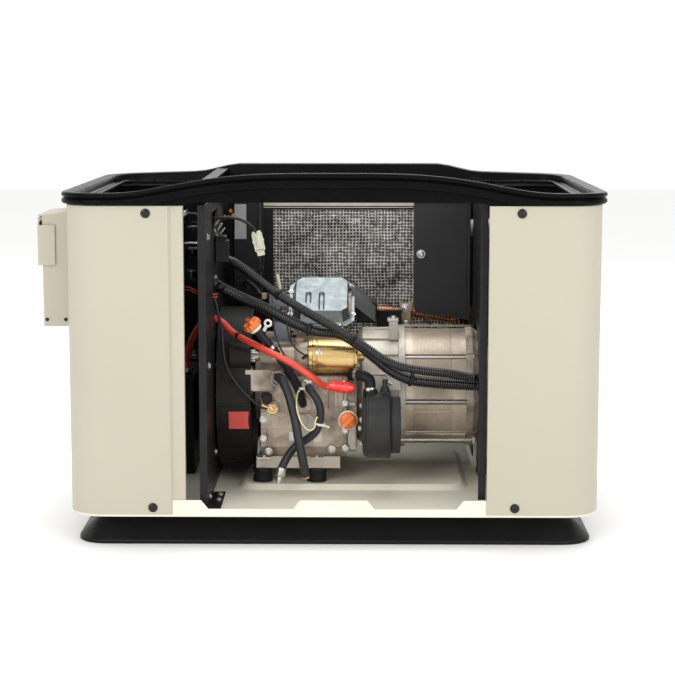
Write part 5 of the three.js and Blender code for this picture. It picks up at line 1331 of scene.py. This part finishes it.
# ---- air, fuel and exhaust ----
def make_breathing():
    dress("air_box", "air_box", 1.5, 3)
    dress("muffler_shield", "shield", 0.7)
    dress("muffler", "muffler", 2.0, 3)
    face = [block(240, 249.6, 96.6, 98.4, 338, 556), block(146.4, 250, 95.4, 98.2, 553.4, 556)]
    face += [prism([(147, 352), (249, 338.4), (249, 334), (147, 347.6)], "y", 93, 98.3)]
    right = min(261.4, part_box("right_divider")[0].x / MM - 0.6)
    face.append(prism([(246, 340.6), (right, 339), (right, 560), (246, 560)], "y", 97.4, 99))
    face.append(block(right - 2, right, 95.4, 97.6, 340, 560))
    piece("shield_hems", face, "shield", edge=0.5)
    spot = mm(157.5, 98, 458)
    piece("shield_screw", [pan_head(spot, -Y, 6.4, 3.6), disc(-0.2, 0.9, 8, spot, -Y, 28)], "zinc_bolt",
          edge=0.2)
    rod = [block(118, 252, 92, 94.4, 321.6, 325), block(118, 252, 94, 101, 321.6, 322.8)]
    piece("shield_lower_rail", rod, "zinc_bolt", edge=0.3)

    points = route([(0.021, 0.1, 0.352), (0.04, 0.112, 0.35), (0.07, 0.13, 0.346), (0.1, 0.145, 0.343),
                    (0.13, 0.15, 0.341), (0.165, 0.15, 0.337), (0.196, 0.15, 0.3325), (0.22, 0.15, 0.3285),
                    (0.234, 0.151, 0.331), (0.2385, 0.154, 0.341), (0.231, 0.156, 0.3505),
                    (0.217, 0.156, 0.355), (0.208, 0.156, 0.363)], 0.001)
    flute = [8.2, 8.8, 11, 11, 8.8, 8.2]
    corrugated = sweep(points, lambda i: (flute[i % 6] if 4 < i < len(points) - 8 else 11.2) * MM, 28)
    piece("exhaust_bellows_skin", [corrugated], "bellows", edge=0, smooth=70, replaces="exhaust_bellows")
    collar = [hoop(-4, 4, 11.4, 13.4, points[8], points[9] - points[7], 28),
              hoop(-3, 3, 11.4, 14, points[-8], Z, 28)]
    piece("bellows_collars", collar, "muffler", edge=0.4)
    flange = [block(121, 140, 128, 134, 320, 362), block(118, 143, 126.4, 129, 346, 362),
              block(126, 136, 122, 130, 318, 330)]
    piece("pipe_bracket", flange, "flange", edge=0.8)
    tunnel = [block(77, 122, 103, 127, 318, 350), block(75, 80, 101, 129, 316, 352),
              block(80, 122, 101.6, 104, 346, 351)]
    piece("exhaust_pipe_shroud", tunnel, "steel_black", edge=1.2)
    piece("pipe_bracket_bolt", bolt(mm(130.5, 127, 352), -Y, 7) + bolt(mm(131, 122, 324), -Y, 5),
          "zinc_bolt", edge=0.25)

    seam = [hoop(-3, 3, 45.6, 48, mm(203, 170, z), Z, 56) for z in (385, 523)]
    piece("muffler_seams", seam, "muffler", edge=0.8)
    tail = [hoop(-4, 4, 16.6, 19.4, mm(292, 170, 500), X, 36)]
    tail.append(hoop(-0.5, 1, 13, 16.8, mm(300, 170, 500), X, 36))
    piece("tailpipe_clamp", tail, "zinc_bolt", edge=0.3)
    latch = [block(34, 37, 12, 18.2, 342, 372), block(50, 62, 15.6, 18.2, 346, 374)]
    latch += [block(x, x + 2, 17.2, 20.4, 340, 366) for x in (42, 66, 70)]
    piece("air_box_clips", latch, "electrical", edge=0.4)
    make_regulator()


def make_regulator():
    """A black drum on its side, with a rolled flange, a smaller disc, a spigot and an elbow to the mixer."""
    place = mm(0, -163, 182)
    drum = [(48.4, 0), (48.4, 38), (49.2, 50), (50.6, 53.6), (54, 54), (55, 57.4), (56.6, 58), (94.4, 58),
            (96.8, 57), (98, 54.4), (98, 40), (98, 0)]
    plate = [(96, 0), (96, 49.4), (97, 50), (113.6, 50), (115, 48.6), (115, 20), (115, 0)]
    hub = [(44.6, 0), (44.6, 8), (46, 12), (46, 20), (49, 22), (49, 0)]
    parts = [lathe(drum, place, X, 72), lathe(plate, place, X, 64), lathe(hub, place, X, 32)]
    parts.append(block(62, 94, -117, -104, 158, 198))
    piece("regulator_drum", parts, "regulator", edge=0.8, smooth=45, segments=3, replaces="fuel_regulator")
    bead = [ring_shape(lathe([(54.6, 57.6), (55.6, 58.6), (58.4, 58.6), (59.4, 57.6)], place, X, 72)),
            ring_shape(lathe([(92.4, 57.6), (93.2, 58.5), (95.2, 58.5), (96, 57.4)], place, X, 72))]
    piece("regulator_beads", bead, "regulator", edge=0.2)
    small = []
    for y, z in ((-163, 216), (-163, 148), (-190, 196)):
        small += bolt(mm(46.6, y, z), -X, 5)
    small.append(disc(-3, 4, 5, mm(45, -174, 178), -X, 16))
    piece("regulator_screws", small, "zinc_bolt", edge=0.2)
    elbow = route([mm(62, -163, 238), mm(62, -162, 252), mm(60, -160, 262), mm(52, -156, 267),
                   mm(40, -150, 268), mm(28, -140, 266)], 0.002)
    tube = sweep(elbow, 0.0095, 24)
    foot = lathe([(-4, 0), (-4, 13), (4, 12.4), (6, 10.6), (6, 0)], mm(62, -163, 240), Z, 28)
    piece("fuel_elbow", [tube, foot], "rubber", edge=0.3)
    for i, k in enumerate((4, len(elbow) - 8)):
        ring = hoop(-3, 3, 9.3, 10.4, elbow[k], elbow[k + 1] - elbow[k], 32)
        turn = (elbow[k + 1] - elbow[k]).to_track_quat("X", "Z").to_matrix().to_4x4()
        lug = moved(block(-2.6, 2.6, 0, 6, 9, 14), Matrix.Translation(elbow[k]) @ turn)
        piece("elbow_clamp_" + str(i + 1), [ring, lug], "zinc_bolt", edge=0.2)
    valve = [lathe([(-8, 0), (-8, 8), (6, 8), (8, 5), (20, 5), (20, 0)], mm(88, -163, 243), Z, 6),
             block(78, 98, -172, -154, 236, 242)]
    piece("fuel_valve", valve, "regulator", edge=0.8)


make_cords()
make_enclosure()
make_side_box()
make_control_bay()
make_engine()
make_alternator()
make_breathing()
